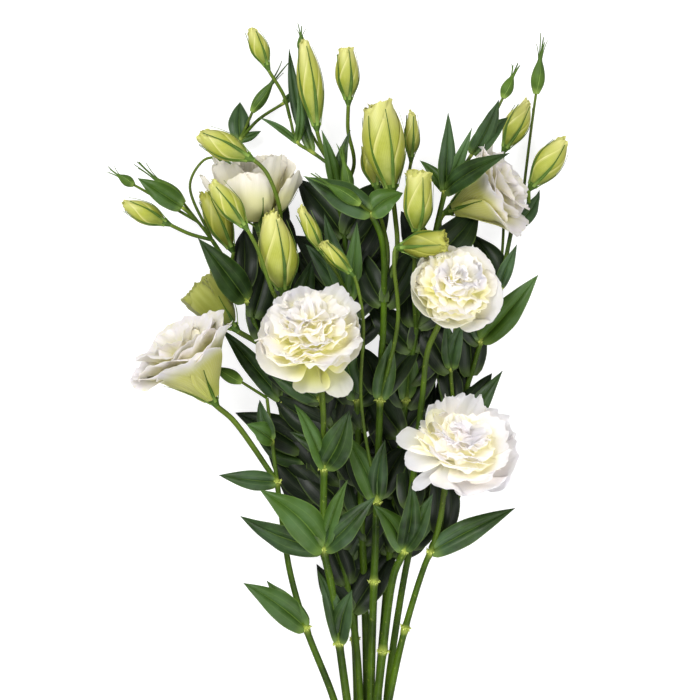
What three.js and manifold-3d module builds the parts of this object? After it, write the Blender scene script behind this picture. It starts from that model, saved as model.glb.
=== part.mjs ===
// A tied bunch of cut lisianthus, lying on its back on a table.
// Millimetres. +Z is up, off the table; +Y runs from the cut ends towards the flowers.
// The origin lies on the table, under the middle of the bunch.
import * as THREE from 'three';
import { mergeVertices } from 'three/addons/utils/BufferGeometryUtils.js';
import Module from 'manifold-3d';

// ---------------------------------------------------------------- driving sizes

const bladeThickness = 0.8; // leaves and petals
const clearance = 0.3; // between pieces that touch
const thickestStem = 6;
const stemSpacing = 6.4; // between stem middles, where the tie holds them
const stemRowSpacing = stemSpacing * Math.sin(Math.PI / 3); // between their rows
const cutLength = 62; // stem length below the tie
const cutStagger = 5; // how far the cut ends stand apart
const tieWidth = 14;
const tieThickness = 2;
const tieInside = thickestStem / 2 + clearance; // from an outer stem's middle to the tie
const receptacleLength = 4.5; // the swelling under each flower
const receptacleRadius = 2.7; // of an open flower's own foot
const receptacleRim = 1.5; // how far the swelling stands out past the flower's foot
const flowerStalk = 3.4; // stalk thickness under an open flower
const longStalk = 60; // a stalk over this length bends in more places
const sepalThickness = [1.8, 1.6, 1.2]; // from its foot to its tip
const sepalGap = 1.3; // from a sepal's middle line to the petals of a bud, at its foot
const sepalFlare = 1.4; // how much further off its tip stands
const bloomSepalGap = 2.4; // the same gap under an open flower
const budSepalReach = 0.8; // how far up its bud a sepal reaches
const bloomSepalReach = 0.6; // how far along an outer petal
const leafFoot = 3; // a leaf's width where it leaves the stem
const leafSunk = 0.4; // how far past the stem's middle a leaf's foot starts
const leafFold = 0.22; // how steeply a leaf's halves rise from its rib

const mainStemStep = 50; // between the rings of a stem's skin
const shootStep = 20;
const frameSteps = 60; // how finely a bar's twist-free frames are worked out

// The bunch is laid out on a front view seen from straight above. A place is
// [column, row, height]: column and row on that view, height in mm above the table.
const viewMiddle = 350; // column and row of the view's middle
const viewHeight = 1660; // the eye above the table
const sharpHeight = 60; // the height at which the view's scale is true
const mmPerPixel = 0.6; // at that height
const middleShift = new THREE.Vector3(5, 71, 0); // the view's middle, from the origin
const tiePlace = [367, 790, stemRowSpacing + tieInside + tieThickness];

// ---------------------------------------------------------------- what the bunch is made of

// Leafy stems. slot: the stem's place in the tie, in stem spacings across and up.
// girth: stem thickness at the cut end and at its top. leaves: base, tip, width.
const leafyStems = {
  left_front: {
    slot: [-1.5, 0],
    girth: [5.6, 3.2],
    route: [[334, 700, 18], [306, 628, 26], [290, 572, 31], [282, 520, 35], [277, 482, 38]],
    shoots: [{ girth: 2.6, route: [[277, 482, 38], [272, 440, 34], [267, 398, 34]] }],
    leaves: [
      { base: [306, 628, 26], tip: [244, 583, 34], width: 16, roll: 15 },
      { base: [306, 628, 26], tip: [266, 581, 22], width: 12, roll: -20 },
      { base: [277, 482, 38], tip: [219, 475, 42], width: 11, roll: 10 },
      { base: [272, 440, 34], tip: [247, 424, 44], width: 13, roll: 35 },
      { base: [272, 440, 34], tip: [259, 400, 30], width: 10, roll: -30 },
    ],
  },
  front_middle: {
    slot: [-1, 1],
    girth: [5.8, 4.2],
    route: [[347, 700, 24], [339, 642, 31], [331, 584, 38], [324, 549, 43], [324, 468, 52]],
    shoots: [],
    leaves: [
      { base: [324, 549, 43], tip: [261, 490, 54], width: 20, roll: 12, arch: 0.1 },
      { base: [324, 549, 43], tip: [240, 517, 44], width: 16, roll: -22 },
      { base: [324, 549, 43], tip: [347, 480, 52], width: 10, roll: -25 },
      { base: [324, 549, 43], tip: [374, 497, 56], width: 15, roll: -20 },
      { base: [324, 468, 52], tip: [296, 404, 62], width: 12, roll: 40 },
      { base: [324, 468, 52], tip: [349, 410, 62], width: 18, roll: -15 },
      { base: [339, 642, 31], tip: [318, 570, 38], width: 11, roll: 20 },
      { base: [339, 642, 31], tip: [352, 590, 42], width: 14, roll: -30 },
    ],
  },
  left_back: {
    slot: [-0.5, 0],
    girth: [5.4, 2.6],
    route: [
      [360, 700, 15], [356, 644, 17], [348, 590, 17], [332, 530, 16], [308, 460, 15],
      [282, 400, 15], [262, 345, 14], [246, 300, 22], [230, 268, 26], [212, 240, 28],
    ],
    shoots: [{ girth: 2.2, route: [[212, 240, 28], [198, 222, 30], [182, 207, 32]] }],
    leaves: [
      { base: [246, 300, 22], tip: [199, 239, 52], width: 17, roll: 10 },
      { base: [282, 400, 15], tip: [222, 328, 12], width: 12, roll: 15 },
      { base: [182, 207, 32], tip: [138, 178, 36], width: 12, roll: 10 },
      { base: [308, 460, 15], tip: [258, 440, 8], width: 14, roll: 10 },
    ],
  },
  upper_left: {
    slot: [-1, -1],
    girth: [5.4, 3],
    route: [
      [357, 700, 7], [355, 640, 8], [353, 580, 10], [350, 520, 16], [340, 460, 22],
      [320, 400, 27], [302, 350, 31], [291, 318, 34],
    ],
    shoots: [
      { girth: 2.2, route: [[302, 350, 31], [284, 300, 14], [262, 240, 6], [246, 180, 6], [240, 140, 10]] },
      { girth: 2.2, route: [[240, 140, 10], [258, 120, 14], [284, 103, 20]] },
    ],
    leaves: [
      { base: [240, 140, 10], tip: [240, 102, 1], width: 12, roll: 0 },
      { base: [284, 103, 20], tip: [296, 92, 13], width: 4, roll: 0 },
      { base: [240, 140, 10], tip: [261, 131, 8], width: 5, roll: 10 },
      { base: [340, 460, 22], tip: [290, 432, 22], width: 12, roll: 20 },
      { base: [320, 400, 27], tip: [268, 372, 26], width: 13, roll: 10 },
    ],
  },
  centre_right: {
    slot: [0, 1],
    girth: [6, 3.8],
    route: [[377, 700, 24], [383, 650, 29], [394, 574, 37], [404, 550, 40], [413, 480, 44], [422, 400, 46]],
    shoots: [],
    leaves: [
      { base: [404, 550, 40], tip: [374, 505, 42], width: 14, roll: 20 },
      { base: [404, 550, 40], tip: [412, 482, 60], width: 12, roll: 10 },
      { base: [404, 550, 40], tip: [432, 494, 54], width: 12, roll: -20 },
    ],
  },
  right_front: {
    slot: [1, 1],
    girth: [5.8, 3.6],
    route: [[389, 700, 25], [405, 629, 33], [426, 562, 42], [431, 552, 43]],
    shoots: [
      {
        girth: 2.6,
        route: [
          [431, 552, 43], [444, 530, 38], [456, 497, 30], [457, 440, 26], [451, 368, 32], [456, 320, 28],
        ],
      },
    ],
    leaves: [
      { base: [431, 552, 43], tip: [515, 508, 50], width: 14, roll: -15 },
      { base: [451, 368, 32], tip: [446, 322, 36], width: 10, roll: 15 },
      { base: [451, 368, 32], tip: [463, 322, 38], width: 10, roll: -15 },
      { base: [457, 440, 26], tip: [502, 371, 36], width: 12, roll: -10 },
    ],
  },
  right_back: {
    slot: [1.5, 0],
    girth: [5.4, 2.6],
    route: [
      [388, 688, 14], [392, 655, 15], [402, 590, 16], [412, 540, 16], [432, 470, 16],
      [452, 420, 16], [467, 386, 17], [481, 341, 19], [499, 288, 21], [512, 228, 22],
    ],
    shoots: [{ girth: 2, route: [[499, 288, 21], [503, 240, 12], [504, 190, 9]] }],
    leaves: [
      { base: [481, 341, 19], tip: [538, 275, 30], width: 16, roll: -12 },
      { base: [481, 341, 19], tip: [466, 300, 14], width: 12, roll: 10 },
      { base: [499, 288, 21], tip: [517, 245, 30], width: 8, roll: 10 },
      { base: [512, 228, 22], tip: [541, 190, 1], width: 10, roll: 30 },
      { base: [452, 420, 16], tip: [430, 350, 18], width: 14, roll: 20 },
      { base: [412, 540, 16], tip: [442, 490, 22], width: 14, roll: -15 },
    ],
  },
  centre_top: {
    slot: [0.5, 0],
    girth: [5.6, 3.6],
    route: [
      [371, 690, 18], [374, 581, 29], [377, 500, 37], [380, 400, 43], [384, 300, 49],
      [382, 240, 53], [371, 213, 56],
    ],
    shoots: [],
    leaves: [
      { base: [371, 213, 56], tip: [305, 177, 62], width: 17, roll: 20 },
      { base: [371, 213, 56], tip: [403, 193, 58], width: 17, roll: -30 },
      { base: [380, 400, 43], tip: [392, 340, 50], width: 12, roll: 10 },
      { base: [377, 500, 37], tip: [343, 432, 44], width: 14, roll: 10 },
      { base: [377, 500, 37], tip: [385, 440, 46], width: 11, roll: 0 },
    ],
  },
  back_top: {
    slot: [0, -1],
    girth: [5.6, 3],
    route: [
      [367, 700, 7], [366, 640, 9], [364, 580, 13], [361, 500, 20], [356, 400, 26],
      [350, 300, 31], [345, 240, 34], [338, 200, 35], [330, 165, 35],
    ],
    shoots: [
      { girth: 2.2, route: [[330, 165, 35], [312, 152, 32], [297, 142, 30], [290, 118, 28]] },
    ],
    leaves: [
      { base: [297, 142, 30], tip: [298, 86, 34], width: 5, roll: 20 },
      { base: [297, 142, 30], tip: [259, 117, 32], width: 4, roll: 10 },
      { base: [312, 152, 32], tip: [289, 48, 10], width: 8, arch: 0 },
      { base: [338, 200, 35], tip: [322, 130, 46], width: 8, roll: 15 },
      { base: [338, 200, 35], tip: [350, 130, 42], width: 8, roll: -15 },
      { base: [350, 300, 31], tip: [325, 214, 42], width: 12, roll: 15 },
      { base: [350, 300, 31], tip: [357, 222, 44], width: 10, roll: -10 },
      { base: [356, 400, 26], tip: [336, 330, 34], width: 14, roll: 15 },
    ],
  },
  right_top: {
    slot: [1, -1],
    girth: [5.4, 3.2],
    route: [
      [378, 700, 7], [384, 620, 8], [391, 540, 11], [398, 470, 20], [406, 400, 27],
      [416, 330, 33], [428, 270, 38], [436, 229, 42], [445, 191, 46],
    ],
    shoots: [{ girth: 2.2, route: [[445, 191, 46], [472, 154, 44], [490, 124, 42]] }],
    leaves: [
      { base: [445, 191, 46], tip: [509, 153, 86], width: 13, roll: -20 },
      { base: [445, 191, 46], tip: [449, 113, 58], width: 10, roll: 20 },
      { base: [445, 191, 46], tip: [472, 128, 56], width: 7, roll: 0 },
      { base: [445, 191, 46], tip: [420, 160, 40], width: 7, roll: 10 },
      { base: [472, 154, 44], tip: [499, 100, 50], width: 12, roll: 30 },
      { base: [472, 154, 44], tip: [508, 117, 38], width: 12, roll: -20 },
      { base: [406, 400, 27], tip: [396, 330, 30], width: 12, roll: 10 },
    ],
  },
};

// Buds with petals that show. stalk: places on the way up from the stem to the base.
const buds = {
  bud_tall: {
    stem: 'centre_top', stalk: [[384, 300, 49], [397, 250, 46], [395, 215, 46]],
    base: [391, 186, 46], tip: [378, 105, 48], width: 25, belly: 0.55, open: 0.62,
  },
  bud_dark: {
    stem: 'centre_top', stalk: [[384, 300, 49], [388, 250, 36], [378, 205, 30]],
    base: [376, 184, 28], tip: [367, 143, 26], width: 13, belly: 0.45, open: 0.3,
  },
  bud_round: {
    stem: 'upper_left', stalk: [[291, 318, 34]],
    base: [283, 287, 54], tip: [271, 214, 63], width: 23, belly: 0.38, open: 0.36,
  },
  bud_twisted: {
    stem: 'back_top', stalk: [[330, 165, 35], [321, 145, 34]],
    base: [316, 124, 34], tip: [304, 42, 36], width: 15, belly: 0.5, open: 0.3,
  },
  bud_upright: {
    stem: 'back_top', stalk: [[338, 200, 35], [354, 165, 30], [348, 130, 30]],
    base: [348, 98, 32], tip: [346, 48, 34], width: 14, belly: 0.45, open: 0.5,
  },
  bud_bowed: {
    stem: 'upper_left',
    stalk: [[291, 318, 34], [288, 308, 66], [281, 262, 77], [279, 205, 77], [266, 172, 76]],
    base: [247, 157, 75], tip: [200, 135, 74], width: 16, belly: 0.5, open: 0.4,
  },
  bud_left: {
    stem: 'upper_left', stalk: [[291, 318, 34], [272, 290, 70], [258, 250, 72]],
    base: [243, 224, 72], tip: [212, 183, 74], width: 14, belly: 0.45, open: 0.35,
  },
  bud_right: {
    stem: 'right_back', stalk: [[512, 228, 22], [528, 206, 14]],
    base: [533, 184, 14], tip: [564, 140, 18], width: 17, belly: 0.5, open: 0.3,
  },
  bud_behind_right: {
    stem: 'right_back', stalk: [[504, 190, 9]],
    base: [506, 146, 12], tip: [527, 103, 14], width: 15, belly: 0.5, open: 0.25,
  },
  bud_curled: {
    stem: 'right_top', stalk: [[416, 330, 33], [414, 290, 50], [415, 255, 58]],
    base: [417, 230, 60], tip: [419, 171, 60], width: 17, belly: 0.4, open: 0.75,
  },
  bud_lying: {
    stem: 'centre_top', stalk: [[380, 400, 43], [398, 320, 62], [394, 262, 68]],
    base: [403, 247, 68], tip: [446, 241, 74], width: 16, belly: 0.45, open: 0.65,
  },
  bud_slim_left: {
    stem: 'back_top', stalk: [[350, 300, 31], [336, 272, 48]],
    base: [320, 248, 52], tip: [301, 209, 54], width: 9, belly: 0.4, open: 0.4,
  },
  bud_slim_middle: {
    stem: 'centre_top', stalk: [[377, 500, 37], [361, 400, 58], [363, 318, 62]],
    base: [349, 271, 62], tip: [322, 243, 64], width: 9, belly: 0.45, open: 0.5,
  },
  bud_top_left: {
    stem: 'back_top', stalk: [[290, 118, 28], [284, 96, 28]],
    base: [266, 64, 28], tip: [251, 29, 28], width: 11, belly: 0.45, open: 0.3,
  },
  bud_far_left: {
    stem: 'left_back', stalk: [[212, 240, 28], [190, 234, 28]],
    base: [164, 222, 28], tip: [123, 203, 30], width: 13, belly: 0.45, open: 0.25,
  },
  bud_behind_left: {
    stem: 'left_back', stalk: [[230, 268, 26]],
    base: [230, 246, 20], tip: [205, 194, 20], width: 15, belly: 0.45, open: 0.4,
  },
  bud_thin_top: {
    stem: 'right_top', stalk: [[428, 270, 38], [410, 215, 36], [408, 180, 34]],
    base: [411, 155, 34], tip: [412, 112, 36], width: 9.5, belly: 0.35, open: 0.25,
  },
};

// Green buds, still closed in their sepals; each is part of its stem.
const greenBuds = [
  {
    stem: 'right_back', stalk: [[512, 228, 22], [522, 200, 10], [526, 170, 6], [531, 130, 8]],
    base: [536, 94, 12], tip: [540, 60, 14], width: 8,
  },
  {
    stem: 'right_top', stalk: [[490, 124, 42]],
    base: [503, 98, 42], tip: [512, 77, 42], width: 7,
  },
  {
    stem: 'back_top', stalk: [[330, 165, 35], [306, 120, 20], [302, 80, 20]],
    base: [302, 52, 20], tip: [301, 36, 20], width: 5,
  },
  {
    stem: 'left_back', stalk: [[198, 222, 30], [150, 194, 26]],
    base: [134, 185, 26], tip: [119, 176, 26], width: 6,
  },
  {
    stem: 'upper_left', stalk: [[240, 140, 10]],
    base: [252, 112, 14], tip: [271, 84, 16], width: 7,
  },
  {
    stem: 'left_back', stalk: [[198, 222, 30]],
    base: [184, 203, 22], tip: [157, 180, 20], width: 8,
  },
  {
    stem: 'left_front', stalk: [[267, 398, 34]],
    base: [242, 382, 34], tip: [217, 369, 34], width: 8,
  },
  {
    stem: 'centre_top', stalk: [[371, 213, 56]],
    base: [360, 204, 64], tip: [330, 186, 68], width: 8,
  },
  {
    stem: 'left_back', stalk: [[212, 240, 28], [190, 184, 12], [204, 160, 12]],
    base: [213, 156, 12], tip: [224, 160, 12], width: 7,
  },
  {
    stem: 'back_top', stalk: [[338, 200, 35]],
    base: [350, 192, 46], tip: [344, 164, 48], width: 7,
  },
];

// Open flowers. axis: the way the mouth faces. radius: half the width of the mouth.
const blooms = {
  bloom_front: {
    stem: 'front_middle', stalk: [[324, 468, 52], [323, 410, 56], [320, 378, 60]],
    base: [316, 358, 68], axis: [-0.12, 0.5, 0.86], radius: 31, form: 'full',
  },
  bloom_right: {
    stem: 'centre_right', stalk: [[422, 400, 46], [428, 350, 48], [440, 322, 52]],
    base: [451, 304, 60], axis: [0.15, 0.35, 0.92], radius: 27, form: 'full',
  },
  bloom_lower_right: {
    stem: 'right_front', stalk: [[431, 552, 43], [440, 520, 48]],
    base: [453, 478, 56], axis: [0.22, 0.6, 0.77], radius: 30, form: 'full',
  },
  bloom_left: {
    stem: 'left_front', stalk: [[277, 482, 38], [233, 420, 40]],
    base: [213, 400, 42], axis: [-0.5, 0.82, 0.28], radius: 31, form: 'funnel',
  },
  bloom_upper_left: {
    stem: 'upper_left', stalk: [[291, 318, 34], [272, 262, 38]],
    base: [261, 224, 40], axis: [-0.1, 0.99, 0.1], radius: 25, form: 'cup',
  },
  bloom_upper_right: {
    stem: 'right_front', stalk: [[456, 320, 28], [458, 260, 26], [455, 235, 28]],
    base: [460, 218, 28], axis: [0.82, 0.5, 0.24], radius: 29, form: 'funnel',
  },
  bloom_half_open: {
    stem: 'left_back', stalk: [[262, 345, 14], [246, 336, 15]],
    base: [233, 326, 17], axis: [-0.68, 0.73, 0.1], radius: 13, form: 'goblet',
  },
};

// The layers of petals of each form, from the outside in, as shares of the mouth's radius.
// mouth: the petal edge's radius and height; belly: the pull on its curve; rows: where along the
// petal, from root to edge, its surface is split.
const outerRows = [0.18, 0.6, 1];
const innerRows = [0.25, 1];
const forms = {
  full: [
    { mouth: [1, 0.5], belly: [0.72, 0.04], ruffle: 0.07, rows: outerRows },
    { mouth: [0.84, 0.82], belly: [0.7, 0.2], ruffle: 0.07, rows: outerRows },
    { mouth: [0.54, 0.98], belly: [0.5, 0.34], ruffle: 0.07, rows: innerRows },
    { mouth: [0.22, 0.96], belly: [0.2, 0.6], ruffle: 0.05, rows: innerRows },
  ],
  funnel: [
    { mouth: [1, 1.32], belly: [0.2, 0.95], ruffle: 0.06, rows: outerRows },
    { mouth: [0.66, 1.38], belly: [0.1, 0.9], ruffle: 0.06, rows: outerRows },
    { mouth: [0.28, 1.3], belly: [0.06, 0.9], ruffle: 0.04, rows: innerRows },
  ],
  cup: [
    { mouth: [0.94, 1.68], belly: [1.1, 0.3], ruffle: 0.04, rows: outerRows },
    { mouth: [0.66, 1.7], belly: [0.82, 0.5], ruffle: 0.04, rows: outerRows },
    { mouth: [0.3, 1.6], belly: [0.36, 0.6], ruffle: 0.03, rows: innerRows },
  ],
  goblet: [
    { mouth: [0.95, 2.6], belly: [1, 0.8], ruffle: 0.05, rows: outerRows },
    { mouth: [0.45, 2.5], belly: [0.5, 1], ruffle: 0.03, rows: innerRows },
  ],
};

// ---------------------------------------------------------------- colours

const finishes = {
  green: new THREE.MeshStandardMaterial({ color: 0x47703a, roughness: 0.5, metalness: 0 }),
  white: new THREE.MeshStandardMaterial({ color: 0xf4f1ee, roughness: 0.6, metalness: 0 }),
  lime: new THREE.MeshStandardMaterial({ color: 0xc6d27c, roughness: 0.55, metalness: 0 }),
  straw: new THREE.MeshStandardMaterial({ color: 0xc3a56b, roughness: 0.85, metalness: 0 }),
};

// ---------------------------------------------------------------- places and solids

const wasm = await Module();
wasm.setup();

function spot([column, row, height]) {
  const scale = (mmPerPixel * (viewHeight - height)) / (viewHeight - sharpHeight);
  const flat = new THREE.Vector3((column - viewMiddle) * scale, (viewMiddle - row) * scale, height);
  return flat.add(middleShift);
}

function solidFrom(geometry) {
  const bare = geometry.clone();
  bare.deleteAttribute('normal');
  bare.deleteAttribute('uv');
  const merged = mergeVertices(bare, 1e-4);
  const vertProperties = new Float32Array(merged.attributes.position.array);
  const triVerts = new Uint32Array(merged.index.array);
  const solid = new wasm.Manifold(new wasm.Mesh({ numProp: 3, vertProperties, triVerts }));
  if (solid.volume() > 0) return solid;
  for (let i = 0; i < triVerts.length; i += 3) {
    [triVerts[i + 1], triVerts[i + 2]] = [triVerts[i + 2], triVerts[i + 1]];
  }
  return new wasm.Manifold(new wasm.Mesh({ numProp: 3, vertProperties, triVerts }));
}

function fuse(geometries) {
  const solids = geometries.map(solidFrom);
  const whole = solids.reduce((sum, solid) => sum.add(solid));
  const mesh = whole.getMesh();
  const geometry = new THREE.BufferGeometry();
  geometry.setAttribute('position', new THREE.BufferAttribute(new Float32Array(mesh.vertProperties), 3));
  geometry.setIndex(new THREE.BufferAttribute(new Uint32Array(mesh.triVerts), 1));
  geometry.computeVertexNormals();
  return geometry;
}

// Three directions square to each other: along the axis, and two across it.
function framed(axis, towards = new THREE.Vector3(0, 0, 1)) {
  const along = axis.clone().normalize();
  const face = towards.clone().addScaledVector(along, -towards.dot(along));
  if (face.length() < 0.2) face.set(0, 1, 0).addScaledVector(along, -along.y);
  face.normalize();
  return { along, face, side: along.clone().cross(face) };
}

// A closed round bar along a smooth line. radii: its radius at each share of its length.
// ridge(turn) lets the section swell and shrink around the bar; a pointed bar ends in a tip.
function bar(points, sides, radii, { pointed = false, ridge = () => 1, shares } = {}) {
  const steps = radii.length - (pointed ? 0 : 1);
  const shareAt = (step) => (shares ? shares[step] : step / steps);
  const line = new THREE.CatmullRomCurve3(points, false, 'centripetal');
  const { normals, binormals } = line.computeFrenetFrames(frameSteps, false);
  const geometry = new THREE.CylinderGeometry(pointed ? 0 : 1, 1, 1, sides, steps);
  const vertices = geometry.attributes.position;
  for (let i = 0; i < vertices.count; i += 1) {
    const step = Math.round((vertices.getY(i) + 0.5) * steps);
    const across = new THREE.Vector2(vertices.getX(i), vertices.getZ(i));
    const rim = across.length() > 1e-6 ? 1 : 0;
    const turn = across.angle();
    const radius = rim ? radii[step] * ridge(turn) : 0;
    const frame = Math.round(shareAt(step) * frameSteps);
    const place = line.getPointAt(shareAt(step));
    place.addScaledVector(normals[frame], radius * Math.cos(turn));
    place.addScaledVector(binormals[frame], -radius * Math.sin(turn));
    vertices.setXYZ(i, place.x, place.y, place.z);
  }
  return geometry;
}

// A thin blade: a grid of middle points, given thickness along each point's own normal.
// Both faces are split into the same triangles.
function blade(columns, rows, pointAt) {
  const grid = new THREE.PlaneGeometry(2, 1, columns, rows);
  const flat = grid.attributes.position;
  const places = [];
  for (const face of [1, -1]) {
    for (let i = 0; i < flat.count; i += 1) {
      const across = flat.getX(i);
      const up = 0.5 - flat.getY(i);
      const { middle, normal } = pointAt(across, up);
      places.push(middle.clone().addScaledVector(normal, (face * bladeThickness) / 2));
    }
  }
  const faces = [];
  const triangles = grid.index.array;
  for (let i = 0; i < triangles.length; i += 3) {
    const [a, b, c] = triangles.slice(i, i + 3);
    faces.push([a, b, c]);
    faces.push([a + flat.count, c + flat.count, b + flat.count]);
  }
  const rim = [];
  for (let i = 0; i < columns; i += 1) rim.push(i);
  for (let j = 0; j < rows; j += 1) rim.push(columns + j * (columns + 1));
  for (let i = 0; i < columns; i += 1) rim.push((rows + 1) * (columns + 1) - 1 - i);
  for (let j = 0; j < rows; j += 1) rim.push((rows - j) * (columns + 1));
  rim.forEach((start, i) => {
    const end = rim[(i + 1) % rim.length];
    faces.push([start, end, start + flat.count]);
    faces.push([end, end + flat.count, start + flat.count]);
  });
  const geometry = new THREE.BufferGeometry().setFromPoints(places);
  return withoutSlivers(geometry.setIndex(faces.flat()));
}

// ---------------------------------------------------------------- stems and leaves

function shootTube(places, girthFrom, girthTo, sides) {
  const length = new THREE.CatmullRomCurve3(places, false, 'centripetal').getLength();
  const steps = Math.max(2, Math.round(length / shootStep));
  const girthAt = (share) => THREE.MathUtils.lerp(girthFrom, girthTo, share);
  const radii = Array.from({ length: steps + 1 }, (_, i) => girthAt(i / steps) / 2);
  return bar(places, sides, radii);
}

function mainStem({ slot, girth, route }) {
  const held = spot(tiePlace);
  held.x += slot[0] * stemSpacing;
  held.z += slot[1] * stemRowSpacing;
  const cut = held.clone();
  cut.y -= cutLength + cutStagger * Math.sin(5 * slot[0] + 3 * slot[1]);
  const below = held.clone();
  below.y -= tieWidth;
  const above = held.clone();
  above.y += tieWidth;
  const places = [cut, below, above, ...route.map(spot)];
  const length = new THREE.CatmullRomCurve3(places, false, 'centripetal').getLength();
  const heldShares = [below, above].map((end) => end.distanceTo(cut) / length);
  const steps = Math.round(((1 - heldShares[1]) * length) / mainStemStep);
  const shares = [0, ...heldShares];
  for (let i = 1; i <= steps; i += 1) shares.push(THREE.MathUtils.lerp(heldShares[1], 1, i / steps));
  const radii = shares.map((share) => THREE.MathUtils.lerp(girth[0], girth[1], share) / 2);
  return bar(places, 6, radii, { shares });
}

// The half width of a leaf along its length: clasping at the stem, widest below the middle.
function leafOutline(share, clasp) {
  const widest = 0.4;
  if (share < widest) return clasp + (1 - clasp) * Math.sin((Math.PI / 2) * (share / widest));
  return Math.cos((Math.PI / 2) * ((share - widest) / (1 - widest)));
}

function leaf({ base, tip, width, roll = 0, arch = 0.07 }) {
  const root = spot(base);
  const run = spot(tip).sub(root);
  root.addScaledVector(run.clone().normalize(), -leafSunk);
  const length = run.length() + leafSunk;
  const { along, face, side } = framed(run);
  const turned = THREE.MathUtils.degToRad(roll);
  const top = face.clone().multiplyScalar(Math.cos(turned)).addScaledVector(side, Math.sin(turned));
  const across = side.clone().multiplyScalar(Math.cos(turned)).addScaledVector(face, -Math.sin(turned));
  const rows = THREE.MathUtils.clamp(Math.floor(width / 4.5), 2, 3);
  return blade(2, rows, (u, share) => {
    const half = (width / 2) * Math.max(leafOutline(share, leafFoot / width), 0);
    const middle = root.clone().addScaledVector(along, length * share);
    middle.addScaledVector(across, u * half);
    middle.addScaledVector(top, arch * length * Math.sin(Math.PI * share) + leafFold * half * Math.abs(u));
    return { middle, normal: top };
  });
}

// ---------------------------------------------------------------- buds and flowers

const budPetals = 5;
const closedBudTips = 3;
const budRidge = 0.07;
const budTwist = 1.5; // radians from base to tip
const budFoot = 0.3; // a bud's radius at its foot, as a share of its full radius

// The share of its full radius that a bud has at each share of its length.
function budOutline(share, { belly = 0.42, open = 0.2 }) {
  if (share < belly) return budFoot + (1 - budFoot) * Math.sin((Math.PI / 2) * (share / belly));
  return open + (1 - open) * Math.cos((Math.PI / 2) * ((share - belly) / (1 - belly)));
}

function axisOf(flower) {
  if (flower.axis) return new THREE.Vector3(...flower.axis).normalize();
  return spot(flower.tip).sub(spot(flower.base)).normalize();
}

// Petals wrapped round each other: a spindle with a ridge for each petal, climbing in a spiral.
function budSolid(bud, sides = 2 * budPetals, steps = 4) {
  const axis = axisOf(bud);
  const foot = spot(bud.base).addScaledVector(axis, clearance);
  const top = spot(bud.tip);
  const length = foot.distanceTo(top);
  const radii = Array.from({ length: steps + 1 }, (_, i) => (bud.width / 2) * budOutline(i / steps, bud));
  const ridge = (turn) => 1 + (sides > budPetals ? budRidge * Math.cos(budPetals * turn) : 0);
  const spindle = bar([foot, foot.clone().lerp(top, 0.5), top], sides, radii, { ridge });
  const vertices = spindle.attributes.position;
  for (let i = 0; i < vertices.count; i += 1) {
    const place = new THREE.Vector3().fromBufferAttribute(vertices, i).sub(foot);
    place.applyAxisAngle(axis, (budTwist * place.dot(axis)) / length).add(foot);
    vertices.setXYZ(i, place.x, place.y, place.z);
  }
  return spindle;
}

const petalRoot = [3.4, 1.6]; // radius and height where an outer petal starts
const petalsPerLayer = 5;
const turnsPerPetal = 4;
const petalNotch = 0.2; // how far the gap between two petals reaches in from their edge
const petalTuck = 1.1; // each petal starts outside its neighbour and ends inside it

// A petal's middle line, from its root out to its edge: radius and height.
function petalLine(bloom, layerNumber, share) {
  const { mouth, belly } = forms[bloom.form][layerNumber];
  const line = new THREE.QuadraticBezierCurve(
    new THREE.Vector2(petalRoot[0] - 0.8 * layerNumber, petalRoot[1] + 2 * layerNumber),
    new THREE.Vector2(belly[0] * bloom.radius, belly[1] * bloom.radius),
    new THREE.Vector2(mouth[0] * bloom.radius, mouth[1] * bloom.radius),
  );
  const slope = line.getTangent(share);
  return { place: line.getPoint(share), normal: new THREE.Vector2(slope.y, -slope.x) };
}

// One wall of a layer of petals: radius and height at a share of the petal and of the way round.
function petalWall(bloom, layerNumber, share, wall, round) {
  const layer = forms[bloom.form][layerNumber];
  const within = (round * petalsPerLayer + 0.5 * (layerNumber % 2)) % 1;
  const edge = Math.abs(2 * within - 1) ** 2;
  const { place, normal } = petalLine(bloom, layerNumber, share * (1 - petalNotch * edge * share ** 3));
  const ruffle = layer.ruffle * bloom.radius * Math.cos(turnsPerPetal * Math.PI * within) * share ** 2;
  const lift = petalTuck * (0.5 - within) * share + ruffle + (wall * bladeThickness) / 2;
  return [place.x + lift * normal.x, place.y + lift * normal.y];
}

// Cups of ruffled, lobed petals, one inside the other, turned as one skin about the flower's axis.
function bloomSolid(bloom) {
  const stations = [() => [0, clearance], () => [receptacleRadius, clearance]];
  forms[bloom.form].forEach((layer, layerNumber) => {
    for (const share of layer.rows) {
      stations.push((round) => petalWall(bloom, layerNumber, share, 1, round));
    }
    for (const share of layer.rows.slice(1).reverse()) {
      stations.push((round) => petalWall(bloom, layerNumber, share, -1, round));
    }
  });
  const [, floor] = stations.at(-1)(0);
  stations.push(() => [0, floor]);
  return turned(bloom, petalsPerLayer * turnsPerPetal, stations);
}

// A closed skin turned about a flower's axis; each station gives radius and height for a share of the turn.
function turned(flower, sides, stations) {
  const geometry = new THREE.LatheGeometry(stations.map((_, i) => new THREE.Vector2(i, i)), sides);
  const vertices = geometry.attributes.position;
  for (let i = 0; i < vertices.count; i += 1) {
    const round = (Math.floor(i / stations.length) % sides) / sides;
    const place = aroundAxis(flower, 2 * Math.PI * round, stations[i % stations.length](round));
    vertices.setXYZ(i, place.x, place.y, place.z);
  }
  return withoutSlivers(geometry);
}

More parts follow.
